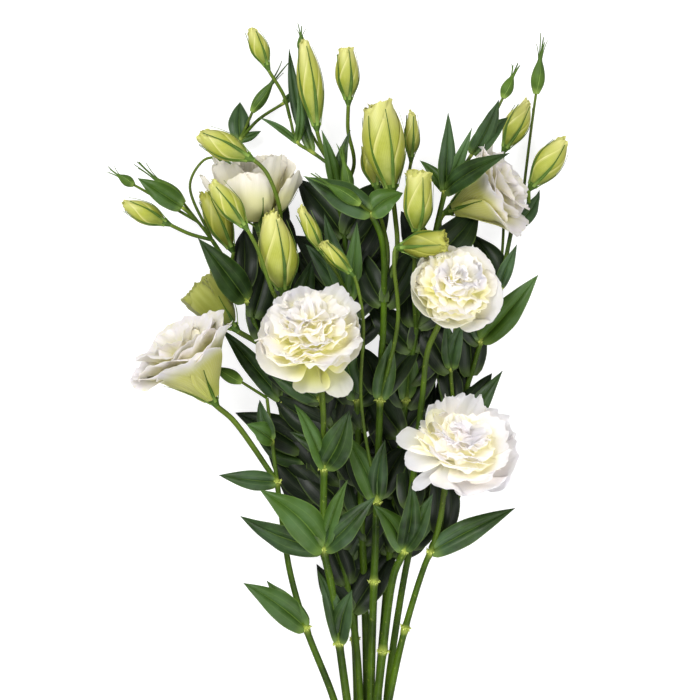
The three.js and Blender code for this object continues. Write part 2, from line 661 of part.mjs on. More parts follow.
// Drops the triangles that have shrunk to a line or a point.
function withoutSlivers(geometry) {
  const loose = geometry.toNonIndexed().attributes.position;
  const kept = [];
  for (let i = 0; i < loose.count; i += 3) {
    const [a, b, c] = [0, 1, 2].map((k) => new THREE.Vector3().fromBufferAttribute(loose, i + k));
    if (Math.min(a.distanceTo(b), b.distanceTo(c), c.distanceTo(a)) < 1e-5) continue;
    for (const corner of [a, b, c]) kept.push(corner.x, corner.y, corner.z);
  }
  const clean = new THREE.BufferGeometry();
  clean.setAttribute('position', new THREE.Float32BufferAttribute(kept, 3));
  return clean;
}

// The radius of a flower's own foot, which sits on the calyx.
function footRadius(flower) {
  return flower.form ? receptacleRadius : (flower.width / 2) * budFoot * (1 + budRidge);
}

// Where a sepal's middle line runs along its flower: radius and height at a share of its length.
function sepalLine(flower, share) {
  if (share === 0) return [footRadius(flower) + 0.4, -0.8]; // in the swelling
  if (flower.form) {
    const { place, normal } = petalLine(flower, 0, share * bloomSepalReach);
    const off = bloomSepalGap + sepalFlare * share;
    return [place.x + off * normal.x, place.y + off * normal.y];
  }
  const length = spot(flower.tip).distanceTo(spot(flower.base));
  const reach = budSepalReach * share;
  const radius = (flower.width / 2) * budOutline(reach, flower) * (1 + budRidge);
  const off = sepalGap + 0.05 * flower.width + sepalFlare * share * share;
  return [radius + off, length * reach];
}

function aroundAxis(flower, turn, [radius, height]) {
  const { along, face, side } = framed(axisOf(flower));
  const outward = face.multiplyScalar(Math.cos(turn)).addScaledVector(side, Math.sin(turn));
  return spot(flower.base).addScaledVector(outward, radius).addScaledVector(along, height);
}

function stalkGirth(flower) {
  return flower.form ? flowerStalk : 1.5 + 0.06 * flower.width;
}

// The stalk swells into a cup under the flower, with a slim pointed sepal for each petal.
function calyx(flower) {
  const axis = axisOf(flower);
  const top = spot(flower.base);
  const neck = top.clone().addScaledVector(axis, -receptacleLength);
  const places = [...flower.stalk.map(spot), neck, neck.clone().lerp(top, 0.5), top];
  const length = new THREE.CatmullRomCurve3(places, false, 'centripetal').getLength();
  const cup = 1 - receptacleLength / length;
  const rings = length > longStalk ? 3 : 2;
  const shares = [...Array.from({ length: rings + 1 }, (_, i) => (i / rings) * cup), 1];
  const rim = footRadius(flower) + receptacleRim;
  const radii = shares.map((share) => (share < 1 ? stalkGirth(flower) / 2 : rim));
  const sepals = Array.from({ length: budPetals }, (_, number) => {
    const turn = (2 * Math.PI * (number + 0.25)) / budPetals;
    const run = [0, 0.07, 0.28, 0.6, 1].map((share) => aroundAxis(flower, turn, sepalLine(flower, share)));
    const girths = flower.width < 14 ? sepalThickness.slice(1) : sepalThickness;
    return bar(run, 3, girths.map((girth) => girth / 2), { pointed: true });
  });
  return [bar(places, 5, radii, { shares }), ...sepals];
}

// A bud still wrapped in its sepals, whose fine tips stand apart above it.
function closedBud(bud) {
  const length = spot(bud.tip).distanceTo(spot(bud.base));
  const tips = Array.from({ length: closedBudTips }, (_, number) => {
    const turn = (2 * Math.PI * (number + 0.4)) / closedBudTips;
    const inner = aroundAxis(bud, turn, [0.12 * bud.width, 0.8 * length]);
    const outer = aroundAxis(bud, turn, [0.35 * bud.width, (1.25 + 0.1 * (number % 2)) * length]);
    return bar([inner, outer], 3, [sepalThickness.at(-1) / 2], { pointed: true });
  });
  return [budSolid(bud, budPetals, 3), ...tips];
}

function closedBudStalk(bud) {
  const joint = spot(bud.base).addScaledVector(axisOf(bud), 1.5);
  return shootTube([...bud.stalk.map(spot), joint], stalkGirth(bud), 0.85 * stalkGirth(bud), 4);
}

// ---------------------------------------------------------------- the bunch

function leafyStem(name, stem) {
  const pieces = [mainStem(stem)];
  for (const shoot of stem.shoots) {
    pieces.push(shootTube(shoot.route.map(spot), shoot.girth, 0.8 * shoot.girth, 5));
  }
  for (const blades of stem.leaves) pieces.push(leaf(blades));
  for (const flower of [...Object.values(blooms), ...Object.values(buds)]) {
    if (flower.stem === name) pieces.push(...calyx(flower));
  }
  for (const bud of greenBuds) {
    if (bud.stem === name) pieces.push(closedBudStalk(bud), ...closedBud(bud));
  }
  return fuse(pieces);
}

// A band pulled tight: straight between the six outer stems, bent round each of them.
function bandOutline(outline, radius) {
  const corners = [[1.5, 0], [1, 1], [-1, 1], [-1.5, 0], [-1, -1], [1, -1]];
  corners.forEach(([across, up], i) => {
    const [from, to] = [i - 0.5, i + 0.5].map((sixths) => (sixths * Math.PI) / 3);
    outline.absarc(across * stemSpacing, up * stemRowSpacing, radius, from, to);
  });
  return outline;
}

function tie() {
  const band = bandOutline(new THREE.Shape(), tieInside + tieThickness);
  band.holes.push(bandOutline(new THREE.Path(), tieInside));
  const options = { depth: tieWidth, bevelEnabled: false, curveSegments: 3 };
  const geometry = new THREE.ExtrudeGeometry(band, options);
  return geometry.translate(0, 0, -tieWidth / 2).rotateX(Math.PI / 2);
}

const bunch = new THREE.Group();

function add(name, geometry, finish, position) {
  const mesh = new THREE.Mesh(geometry, finish);
  mesh.name = name;
  if (position) mesh.position.copy(position);
  bunch.add(mesh);
}

for (const [name, stem] of Object.entries(leafyStems)) {
  add(`leafy_stem_${name}`, leafyStem(name, stem), finishes.green);
}
for (const [name, bloom] of Object.entries(blooms)) add(name, bloomSolid(bloom), finishes.white);
for (const [name, bud] of Object.entries(buds)) add(name, fuse([budSolid(bud)]), finishes.lime);
add('tie', tie(), finishes.straw, spot(tiePlace));

export default bunch;
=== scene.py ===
"""A tied bunch of cut lisianthus, lying on its back on a pale table.

Metres; +Z is up, off the table, and +Y runs from the cut ends to the flowers. The bunch is laid
out on a front view seen from straight above: a place is (column, row, height in mm).
"""

from __future__ import annotations

import logging
import math
from dataclasses import dataclass, field
from enum import Enum
from functools import cache, partial, reduce
from typing import Iterable, Sequence

import bpy
import numpy as np
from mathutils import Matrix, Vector

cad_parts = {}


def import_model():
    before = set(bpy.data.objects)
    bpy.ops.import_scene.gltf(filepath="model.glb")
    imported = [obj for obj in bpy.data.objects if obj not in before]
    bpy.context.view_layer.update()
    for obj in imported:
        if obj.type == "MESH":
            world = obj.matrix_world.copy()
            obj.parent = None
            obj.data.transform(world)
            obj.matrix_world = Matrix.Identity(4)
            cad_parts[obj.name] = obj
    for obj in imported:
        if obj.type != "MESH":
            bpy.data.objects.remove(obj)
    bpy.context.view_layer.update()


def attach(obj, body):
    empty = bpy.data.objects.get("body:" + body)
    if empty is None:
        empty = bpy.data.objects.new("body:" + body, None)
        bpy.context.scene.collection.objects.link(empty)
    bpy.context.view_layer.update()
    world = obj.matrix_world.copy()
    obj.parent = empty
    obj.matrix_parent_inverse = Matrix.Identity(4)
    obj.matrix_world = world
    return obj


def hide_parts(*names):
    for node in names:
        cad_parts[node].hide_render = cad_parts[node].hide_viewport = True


LOG = logging.getLogger("lisianthus")

Array = np.ndarray
Piece = bpy.types.Object
Socket = bpy.types.NodeSocket
Tree = bpy.types.NodeTree
Place = tuple[float, float, float]
Pair = tuple[float, float]
Rgb = tuple[int, int, int]
Rod = tuple[Array, Array, Array]  # points, radii and paleness

MM = 0.001
BODY = "root"
FULL_TURN = 2 * math.pi
QUARTER_TURN = math.pi / 2

# ---------------------------------------------------------------- the front view

VIEW_MIDDLE = 350.0  # column and row of the view's middle
VIEW_HEIGHT = 1660.0  # the eye above the table, mm
SHARP_HEIGHT = 60.0  # the height at which the view's scale is true, mm
MM_PER_PIXEL = 0.6  # at that height
VIEW_PIXELS = 700  # the view's width
MIDDLE_SHIFT = np.array([5.0, 71.0, 0.0])  # the view's middle, from the origin, mm

# ---------------------------------------------------------------- driving sizes, mm

THICKEST_STEM = 6.0
STEM_SPACING = 6.4  # between stem middles, where the tie holds them
STEM_ROW_SPACING = STEM_SPACING * math.sin(math.pi / 3)
CUT_LENGTH = 62.0  # stem length below the tie
CUT_STAGGER = 5.0
TIE_WIDTH = 14.0
TIE_THICKNESS = 2.0
TIE_INSIDE = THICKEST_STEM / 2 + 0.3  # from an outer stem's middle to the tie
TIE_PLACE = (367.0, 790.0, STEM_ROW_SPACING + TIE_INSIDE + TIE_THICKNESS)
RECEPTACLE_LENGTH = 4.5  # the swelling under each flower
RECEPTACLE_RADIUS = 2.7
RECEPTACLE_RIM = 1.5
FLOWER_STALK = 3.4
PETAL_ROOT = (3.4, 1.6)  # radius and height where an outer petal starts
PETAL_TUCK = 0.6  # each petal starts outside its neighbour and ends inside it
SEPAL_GAP = 0.15  # between a sepal's middle line and a bud's petals, at its foot
SEPAL_FLARE = 0.25  # how much further off its tip stands
SEPAL_WIDTH = 1.1  # half a sepal's width at its foot
SLIM_SEPAL_WIDTH = 0.85
SMALL_BUD = 14.0  # a bud slimmer than this has slim sepals
SMALL_LEAF = 8.0  # a leaf narrower than this is young and pale
BLOOM_SEPAL_GAP = 1.0
LESSER_LEFT, LESSER_RIGHT = -66.0, 92.0  # how far to the sides the lesser leaves reach
NARROW_BELOW = 17.0  # nearer to the cut ends than this, they reach less far to the right
LOW_STEM = 17.0  # a stem whose way starts below this height lies at the back
LONG_SHOOT = 80.0  # a shoot longer than this has lesser leaves too
LOWEST = 0.25 * MM  # nothing that grows lies closer to the table, metres

# ---------------------------------------------------------------- shares and counts

SEPALS = 5
BUD_SEPAL_REACH = 0.86  # how far up its bud a sepal reaches
BLOOM_SEPAL_REACH = 0.62
BUD_FOOT = 0.3  # a bud's radius at its foot, as a share of its full radius
BUD_RIDGE = 0.07
TWICE_WRAPPED = 0.22  # a bud more open than this shows a second ring of petals
LEAF_FOLD = 0.13  # how steeply a leaf's halves rise from its rib
LEAF_BULGE = 0.3  # how far each half of a leaf arches, in shares of its half width
LEAF_BREADTH = 1.14  # how much broader a living leaf is than its flat outline
LEAF_ARCH = 0.07
SIDE_RIB = 0.42  # where a leaf's side ribs run, from its middle rib to its edge
SCALES_AT_NODE = 15
STEM_SEED, BLOOM_SEED, BUD_SEED, CUP_SEED, SCALE_SEED = 100, 300, 500, 500, 900


def spot(place: Sequence[float]) -> Array:
    """Turns a place on the front view into metres.

    Args:
        place: column, row and height in mm.

    Returns:
        The point in the part's frame.
    """
    column, row, height = place
    scale = MM_PER_PIXEL * (VIEW_HEIGHT - height) / (VIEW_HEIGHT - SHARP_HEIGHT)
    flat = np.array([(column - VIEW_MIDDLE) * scale, (VIEW_MIDDLE - row) * scale, height])
    return (flat + MIDDLE_SHIFT) * MM


def spots(places: Iterable[Place]) -> list[Array]:
    """Turns places on the front view into points in metres."""
    return [spot(place) for place in places]


def unit(vector: Array) -> Array:
    """Returns the vector, or each row of vectors, at length one."""
    length = np.linalg.norm(vector, axis=-1, keepdims=True)
    return vector / np.maximum(length, 1e-12)


def ramp(value: Array, start: float, run: float) -> Array:
    """Returns how far the value has gone through a run from its start, from 0 to 1."""
    return np.clip((value - start) / run, 0, 1)


def grid(rows: int, columns: int) -> tuple[Array, Array]:
    """Returns a sheet's marks across, from -1 to 1, and along, from 0 to 1."""
    return np.linspace(-1, 1, columns)[None, :], np.linspace(0, 1, rows)[:, None]


def ripples(phases: Array, *waves: tuple[float, Array]) -> Array:
    """Adds up sine waves; each has a height and an angle, and takes a phase of its own."""
    return sum(height * np.sin(angle + phase) for phase, (height, angle) in zip(phases, waves))


def smooth_line(places: Sequence[Array], step: float) -> Array:
    """Runs a smooth curve through the places, as a centripetal spline.

    Args:
        places: points that the curve passes through.
        step: distance between the points that come back.

    Returns:
        Evenly spaced points, one row each.
    """
    knots = [2 * places[0] - places[1], *places, 2 * places[-1] - places[-2]]
    fine: list[Array] = []
    for before, start, end, after in zip(knots, knots[1:], knots[2:], knots[3:]):
        ways = (start - before, end - start, after - end)
        gaps = [max(np.linalg.norm(way), 1e-9) ** 0.5 for way in ways]
        leave = (start - before) / gaps[0] - (end - before) / (gaps[0] + gaps[1])
        leave = (leave + (end - start) / gaps[1]) * gaps[1]
        arrive = (end - start) / gaps[1] - (after - start) / (gaps[1] + gaps[2])
        arrive = (arrive + (after - end) / gaps[2]) * gaps[1]
        share = np.linspace(0, 1, 24, endpoint=False)[:, None]
        bend = 2 * (start - end) + leave + arrive
        lift = 3 * (end - start) - 2 * leave - arrive
        fine.append(((bend * share + lift) * share + leave) * share + start)
    points = np.vstack([*fine, knots[-2]])
    reached = np.append(0.0, np.cumsum(np.linalg.norm(np.diff(points, axis=0), axis=1)))
    wanted = np.linspace(0, reached[-1], max(2, int(round(reached[-1] / step)) + 1))
    return np.stack([np.interp(wanted, reached, points[:, k]) for k in range(3)], axis=1)


@dataclass(frozen=True)
class Axes:
    """A flower's own directions: along its axis, towards its face side, and across."""

    origin: Array
    along: Array
    face: Array
    side: Array

    @staticmethod
    def at(origin: Array, axis: Array) -> "Axes":
        """Sets up the directions at a point, with the face side turned upwards.

        Args:
            origin: where the flower's foot is.
            axis: the way the flower points.

        Returns:
            The three directions, square to each other.
        """
        along = unit(np.asarray(axis, float))
        face = np.array([0.0, 0.0, 1.0]) - along * along[2]
        if np.linalg.norm(face) < 0.2:
            face = np.array([0.0, 1.0, 0.0]) - along * along[1]
        face = unit(face)
        return Axes(origin, along, face, np.cross(along, face))

    def outward(self, turn: Array | float) -> Array:
        """Returns the way out from the axis at an angle round it."""
        turn = np.asarray(turn, float)[..., None]
        return self.face * np.cos(turn) + self.side * np.sin(turn)

    def around(self, turn: Array, radius: Array, height: Array) -> Array:
        """Returns points round the axis, at their angle, distance from it and height."""
        return self.origin + self.outward(turn) * radius[..., None] + self.along * height[..., None]


def placed(name: str, data: bpy.types.ID) -> Piece:
    """Makes an object of the data and links it to the scene.

    Args:
        name: its name.
        data: its mesh, lamp or camera.

    Returns:
        The object.
    """
    thing = bpy.data.objects.new(name, data)
    bpy.context.scene.collection.objects.link(thing)
    return thing


def keep_mark(mesh: bpy.types.Mesh, name: str, values: Array) -> None:
    """Stores a number or a vector at each point of a mesh.

    Args:
        mesh: takes them.
        name: what they are kept as.
        values: one a point.
    """
    kind, part = ("FLOAT", "value") if values.ndim == 1 else ("FLOAT_VECTOR", "vector")
    attribute = mesh.attributes.new(name, kind, "POINT")
    attribute.data.foreach_set(part, np.ascontiguousarray(values, np.float32).ravel())


def finished(piece: Piece, slot: str, *nodes: str) -> Piece:
    """Seats a piece in the frame.

    Args:
        piece: the piece.
        slot: not used.
        nodes: the solids that it stands for.

    Returns:
        The piece.
    """
    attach(piece, BODY)
    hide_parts(*nodes)
    LOG.info("%s: %d faces", piece.name, len(piece.data.polygons))
    return piece


# ---------------------------------------------------------------- closed skins


def cells(index: Array) -> Array:
    """Returns the four corners of each cell of a grid of point numbers."""
    corners = (index[:-1, :-1], index[:-1, 1:], index[1:, 1:], index[1:, :-1])
    return np.stack(corners, -1).reshape(-1, 4)


@dataclass
class Skin:
    """Gathers closed sheets and rods, gives them their random draws, and makes one mesh."""

    seed: int
    points: list[Array] = field(default_factory=list)
    marks: list[Array] = field(default_factory=list)
    faces: list[tuple[Array, int]] = field(default_factory=list)  # corners, finish number
    count: int = 0
    depth: Array | None = None

    MARKS = ("across", "along", "tint")
    SHARP_ANGLE = math.radians(60.0)  # edges that bend by more stay sharp
    OUTLINE_RINGS, OUTLINE_SECTORS = 12, 20

    def __post_init__(self) -> None:
        """Starts the random draws."""
        self.draw = np.random.default_rng(self.seed)

    def _take(self, points: Array, marks: Array,
              faces: Sequence[tuple[Array, int]]) -> None:
        """Adds one closed body, turned so that its faces point out.

        Args:
            points: its points.
            marks: its marks at each point.
            faces: corners of faces, each lot with its finish number.
        """
        points[:, 2] = np.maximum(points[:, 2], LOWEST)
        volume = 0.0
        for corners, _ in faces:
            first, *others = np.moveaxis(points[corners] - points.mean(0), 1, 0)
            for one, other in zip(others, others[1:]):
                volume += np.sum(first * np.cross(one, other))
        way = -1 if volume < 0 else 1
        self.faces += [(corners[:, ::way] + self.count, finish) for corners, finish in faces]
        self.points.append(points)
        self.marks.append(marks)
        self.count += len(points)

    def sheet(self, middle: Array, thickness: Array, along: Array,
              across: Array, tint: float, finishes: tuple[int, int] = (0, 0)) -> None:
        """Adds a thin sheet with a closed rim.

        Args:
            middle: grid of points, rows by columns by three.
            thickness: the sheet's thickness at each point.
            along: mark from root to edge at each point.
            across: mark from side to side at each point.
            tint: one number for the whole sheet, from 0 to 1.
            finishes: finish numbers of the face that the grid's normal leaves, and the other.
        """
        shape = middle.shape[:2]
        layer = shape[0] * shape[1]
        normal = unit(np.cross(np.gradient(middle, axis=1), np.gradient(middle, axis=0)))
        half = normal * np.broadcast_to(thickness, shape)[..., None] / 2
        points = np.concatenate([(middle + half).reshape(-1, 3), (middle - half).reshape(-1, 3)])
        index = np.arange(layer).reshape(shape)
        front = cells(index)
        rim = np.concatenate([index[0, :-1], index[:-1, -1], index[-1, :0:-1], index[:0:-1, 0]])
        next_rim = np.roll(rim, -1)
        wall = np.stack([rim, rim + layer, next_rim + layer, next_rim], -1)
        marks = [np.broadcast_to(mark, shape).ravel() for mark in (across, along, tint)]
        self._take(points, np.tile(np.stack(marks, -1), (2, 1)),
                   [(front, finishes[0]), (front[:, ::-1] + layer, finishes[1]), (wall, finishes[1])])

    def rod(self, line: Array, radii: Array, sides: int, tint: float, finish: int = 0,
            ridge: float = 0.0) -> None:
        """Adds a closed straight rod, round or with a ridge for each sepal.

        Args:
            line: its middle line.
            radii: its radius at each point of the line.
            sides: how many faces go round it.
            tint: one number for the whole rod.
            finish: its finish number.
            ridge: how far each ridge stands out, as a share of the radius.
        """
        way = unit(line[-1] - line[0])
        across = np.cross(way, [0.0, 0.0, 1.0])
        if np.linalg.norm(across) < 0.2:
            across = np.cross(way, [0.0, 1.0, 0.0])
        across = unit(across)
        turn = np.linspace(0, FULL_TURN, sides, endpoint=False)
        ring = np.outer(np.cos(turn), across) + np.outer(np.sin(turn), np.cross(way, across))
        ring = ring * (1 + ridge * np.cos(SEPALS * turn))[:, None]
        rings = (line[:, None] + ring * radii[:, None, None]).reshape(-1, 3)
        steps, end = len(line), len(line) * sides
        index = np.arange(end).reshape(steps, sides)
        index = np.hstack([index, index[:, :1]])
        foot = np.stack([index[0, 1:], index[0, :-1], np.full(sides, end)], -1)
        top = np.stack([index[-1, :-1], index[-1, 1:], np.full(sides, end + 1)], -1)
        around = np.append(np.tile(turn / math.pi - 1, steps), [0, 0])
        along = np.append(np.repeat(np.linspace(0, 1, steps), sides), [0, 1])
        marks = np.stack([around, along, np.full(end + 2, tint)], -1)
        self._take(np.concatenate([rings, line[:1], line[-1:]]), marks,
                   [(cells(index), finish), (foot, finish), (top, finish)])

    def deepen(self, axes: Axes, lift: float, reach: float) -> None:
        """Marks how far each point lies inside the round outline of everything gathered so far.

        Args:
            axes: the flower's directions.
            lift: how far along the axis the outline's centre lies.
            reach: the depth, in metres, that counts as one.
        """
        places = np.concatenate(self.points) - (axes.origin + axes.along * lift)
        radius = np.linalg.norm(places, axis=1)
        high = np.clip(places @ axes.along / np.maximum(radius, 1e-9), -1, 1)
        turn = np.arctan2(places @ axes.side, places @ axes.face)
        rings, sectors = self.OUTLINE_RINGS, self.OUTLINE_SECTORS
        ring = (high + 1) / 2 * (rings - 1)
        sector = (turn / FULL_TURN % 1) * sectors
        most = np.zeros((rings, sectors))
        nearest = (np.rint(ring).astype(int), np.rint(sector).astype(int) % sectors)
        np.maximum.at(most, nearest, radius)
        most = (most + (np.roll(most, 1, 1) + np.roll(most, -1, 1)) / 2) / 2
        low = np.minimum(ring.astype(int), rings - 2)
        left = sector.astype(int) % sectors
        up, right = ring - low, sector % 1
        outer = 0.0
        for column, share in ((left, 1 - right), ((left + 1) % sectors, right)):
            outer = outer + (most[low, column] * (1 - up) + most[low + 1, column] * up) * share
        self.depth = np.clip((outer - radius) / reach, 0, 1)

    def piece(self, name: str, *finishes: Finish) -> Piece:
        """Makes the mesh object.

        Args:
            name: the piece's name.
            finishes: its finishes, in the order of their numbers.

        Returns:
            The new object, at the origin.
        """
        lots, numbers = zip(*self.faces)
        sizes = np.concatenate([np.full(len(lot), lot.shape[1]) for lot in lots])
        corners = np.concatenate([lot.ravel() for lot in lots])
        mesh = bpy.data.meshes.new(name)
        mesh.vertices.add(self.count)
        mesh.vertices.foreach_set("co", np.concatenate(self.points).astype(np.float32).ravel())
        mesh.loops.add(len(corners))
        mesh.loops.foreach_set("vertex_index", corners.astype(np.int32))
        mesh.polygons.add(len(sizes))
        mesh.polygons.foreach_set("loop_start", (np.cumsum(sizes) - sizes).astype(np.int32))
        finish = np.repeat(numbers, [len(lot) for lot in lots])
        mesh.polygons.foreach_set("material_index", finish.astype(np.int32))
        for mark, values in zip(self.MARKS, np.concatenate(self.marks).T):
            keep_mark(mesh, mark, values)
        if self.depth is not None:
            keep_mark(mesh, "depth", self.depth)
        for finish in finishes:
            mesh.materials.append(finish.material())
        mesh.update(calc_edges=True)
        mesh.validate()
        mesh.shade_smooth()
        mesh.set_sharp_from_angle(angle=self.SHARP_ANGLE)
        return placed(name, mesh)


# ---------------------------------------------------------------- finishes


def linear(colour: Rgb) -> tuple[float, float, float, float]:
    """Turns a colour into the light values that a shader takes.

    Args:
        colour: red, green and blue of 0 to 255.

    Returns:
        The values, and 1 for solid.
    """
    shares = [value / 255 for value in colour]
    lights = [s / 12.92 if s <= 0.04045 else ((s + 0.055) / 1.055) ** 2.4 for s in shares]
    return (*lights, 1.0)


class Wiring:
    """Adds and joins the nodes of one tree."""

    def __init__(self, tree: Tree) -> None:
        """Keeps the tree."""
        self.tree = tree

    def fill(self, node: bpy.types.Node, values: dict) -> None:
        """Sets a node's inputs, or joins them where the value is a socket.

        Args:
            node: takes the values.
            values: by the input's name or number.
        """
        for name, value in values.items():
            if isinstance(value, Socket):
                self.tree.links.new(value, node.inputs[name])
            else:
                node.inputs[name].default_value = value

    def put(self, kind: str, values: dict | None = None, **settings: object) -> bpy.types.Node:
        """Adds a node.

        Args:
            kind: the node's type.
            values: what goes into its inputs.
            settings: the node's own properties.

        Returns:
            The new node.
        """
        node = self.tree.nodes.new(kind)
        for name, value in settings.items():
            setattr(node, name, value)
        self.fill(node, values or {})
        return node

    def work_out(self, operation: str, *values: object) -> Socket:
        """Adds a Math node and returns its output."""
        return self.put("ShaderNodeMath", dict(enumerate(values)), operation=operation).outputs[0]

    def times(self, *values: object) -> Socket:
        """Multiplies values and returns the product."""
        return reduce(partial(self.work_out, "MULTIPLY"), values)

    def total(self, *parts: tuple[object, float]) -> Socket:
        """Adds up sockets, each times its own number, and returns the sum."""
        return reduce(partial(self.work_out, "ADD"), [self.times(*part) for part in parts])

    def ease(self, value: object, low: float, high: float, start: float = 0.0,
             end: float = 1.0) -> Socket:
        """Maps a value smoothly from one range to another.

        Args:
            value: the socket that is read.
            low: the value where the change starts.
            high: the value where it ends.
            start: what comes out at the low value.
            end: what comes out at the high value.

        Returns:
            The mapped value's socket.
        """
        inputs = {0: value, 1: low, 2: high, 3: start, 4: end}
        return self.put("ShaderNodeMapRange", inputs, interpolation_type="SMOOTHSTEP").outputs[0]

    def layered(self, colour: object, *layers: tuple) -> Socket:
        """Lays colours over a first one.

        Args:
            colour: the first, of 0 to 255 or as a socket.
            layers: each a colour and how much of it shows, as values that are multiplied.

        Returns:
            The mixed colour's socket.
        """
        for second, *shares in layers:
            first, second = (linear(c) if isinstance(c, tuple) else c for c in (colour, second))
            inputs = {0: self.times(*shares), 6: first, 7: second}
            colour = self.put("ShaderNodeMix", inputs, data_type="RGBA").outputs[2]
        return colour

    def mark(self, name: str) -> Socket:
        """Returns one of the mesh's own marks as a number."""
        node = self.put("ShaderNodeAttribute", attribute_name=name, attribute_type="GEOMETRY")
        return node.outputs["Fac"]

    def marks(self) -> list[Socket]:
        """Returns the marks that every skin has: across, along and tint."""
        return [self.mark(name) for name in Skin.MARKS]

    def effect(self, effect: Effect, **values: object) -> Socket:
        """Places a shared effect, with its inputs' values, and returns its mask."""
        node = self.put("ShaderNodeGroup", values, node_tree=group_of(effect))
        return node.outputs["Mask"]


class Effect(Enum):
    """The shared effects, each one shader group."""

    VEINS = "flower_veins"
    MOTTLE = "flower_mottle"
    MARGIN = "flower_margin"


@cache
def group_of(effect: Effect) -> Tree:
    """Builds a shared effect, once.

    Args:
        effect: which one.

    Returns:
        Its node group.
    """
    group = bpy.data.node_groups.new(effect.value, "ShaderNodeTree")
    inputs = {
        Effect.VEINS: ("Across", "Along", "Count", "Wander"),
        Effect.MOTTLE: ("Scale", "Low", "High"),
        Effect.MARGIN: ("Across", "Start"),
    }[effect]
    for name in inputs:
        group.interface.new_socket(name, in_out="INPUT", socket_type="NodeSocketFloat")
    group.interface.new_socket("Mask", in_out="OUTPUT", socket_type="NodeSocketFloat")
    wiring = Wiring(group)
    given = group.nodes.new("NodeGroupInput").outputs
    place = wiring.put("ShaderNodeTexCoord").outputs["Object"]
    if effect is Effect.VEINS:
        noise = wiring.put("ShaderNodeTexNoise", {"Vector": place, "Scale": 220.0, "Detail": 2.0})
        drift = wiring.times(wiring.work_out("SUBTRACT", noise.outputs[0], 0.5), given["Wander"])
        lines = wiring.times(wiring.work_out("ADD", given["Across"], drift), given["Count"])
        line = wiring.ease(wiring.work_out("PINGPONG", lines, 0.5), 0.0, 0.16, 1.0, 0.0)
        mask = wiring.times(line, wiring.ease(given["Along"], 0.0, 1.0, 1.0, 0.35))
    elif effect is Effect.MOTTLE:
        inputs = {"Vector": place, "Scale": given["Scale"], "Detail": 4.0, "Roughness": 0.6}
        noise = wiring.put("ShaderNodeTexNoise", inputs)
        inputs = {0: noise.outputs[0], 1: given["Low"], 2: given["High"]}
        mask = wiring.put("ShaderNodeMapRange", inputs).outputs[0]
    else:
        mask = wiring.ease(wiring.work_out("ABSOLUTE", given["Across"]), given["Start"], 1.0)
    wiring.fill(group.nodes.new("NodeGroupOutput"), {"Mask": mask})
    return group


@dataclass(frozen=True)
class Coat:
    """What a finish gives to its shader: the inputs, and a relief with its height in mm."""

    inputs: dict[str, object]
    relief: Socket
    strength: float
    height: float


@dataclass(frozen=True)
class Finish:
    """What every finish has: a name, and how rough its surface is."""

    name: str
    roughness: float

    def material(self) -> bpy.types.Material:
        """Builds the finish's material, the first time only.

        Returns:
            The material.
        """
        made = bpy.data.materials.get(self.name)
        if made is None:
            made = bpy.data.materials.new(self.name)
            made.use_nodes = True
            wiring = Wiring(made.node_tree)
            coat = self.coat(wiring)
            relief = {"Height": coat.relief, "Strength": coat.strength, "Distance": coat.height * MM}
            bump = wiring.put("ShaderNodeBump", relief)
            shader = made.node_tree.nodes["Principled BSDF"]
            wiring.fill(shader, {"Roughness": self.roughness, "Normal": bump.outputs[0]})
            wiring.fill(shader, coat.inputs)
        return made

    def coat(self, wiring: Wiring) -> Coat:
        """Works out what goes to the shader; each finish has its own way."""
        raise NotImplementedError


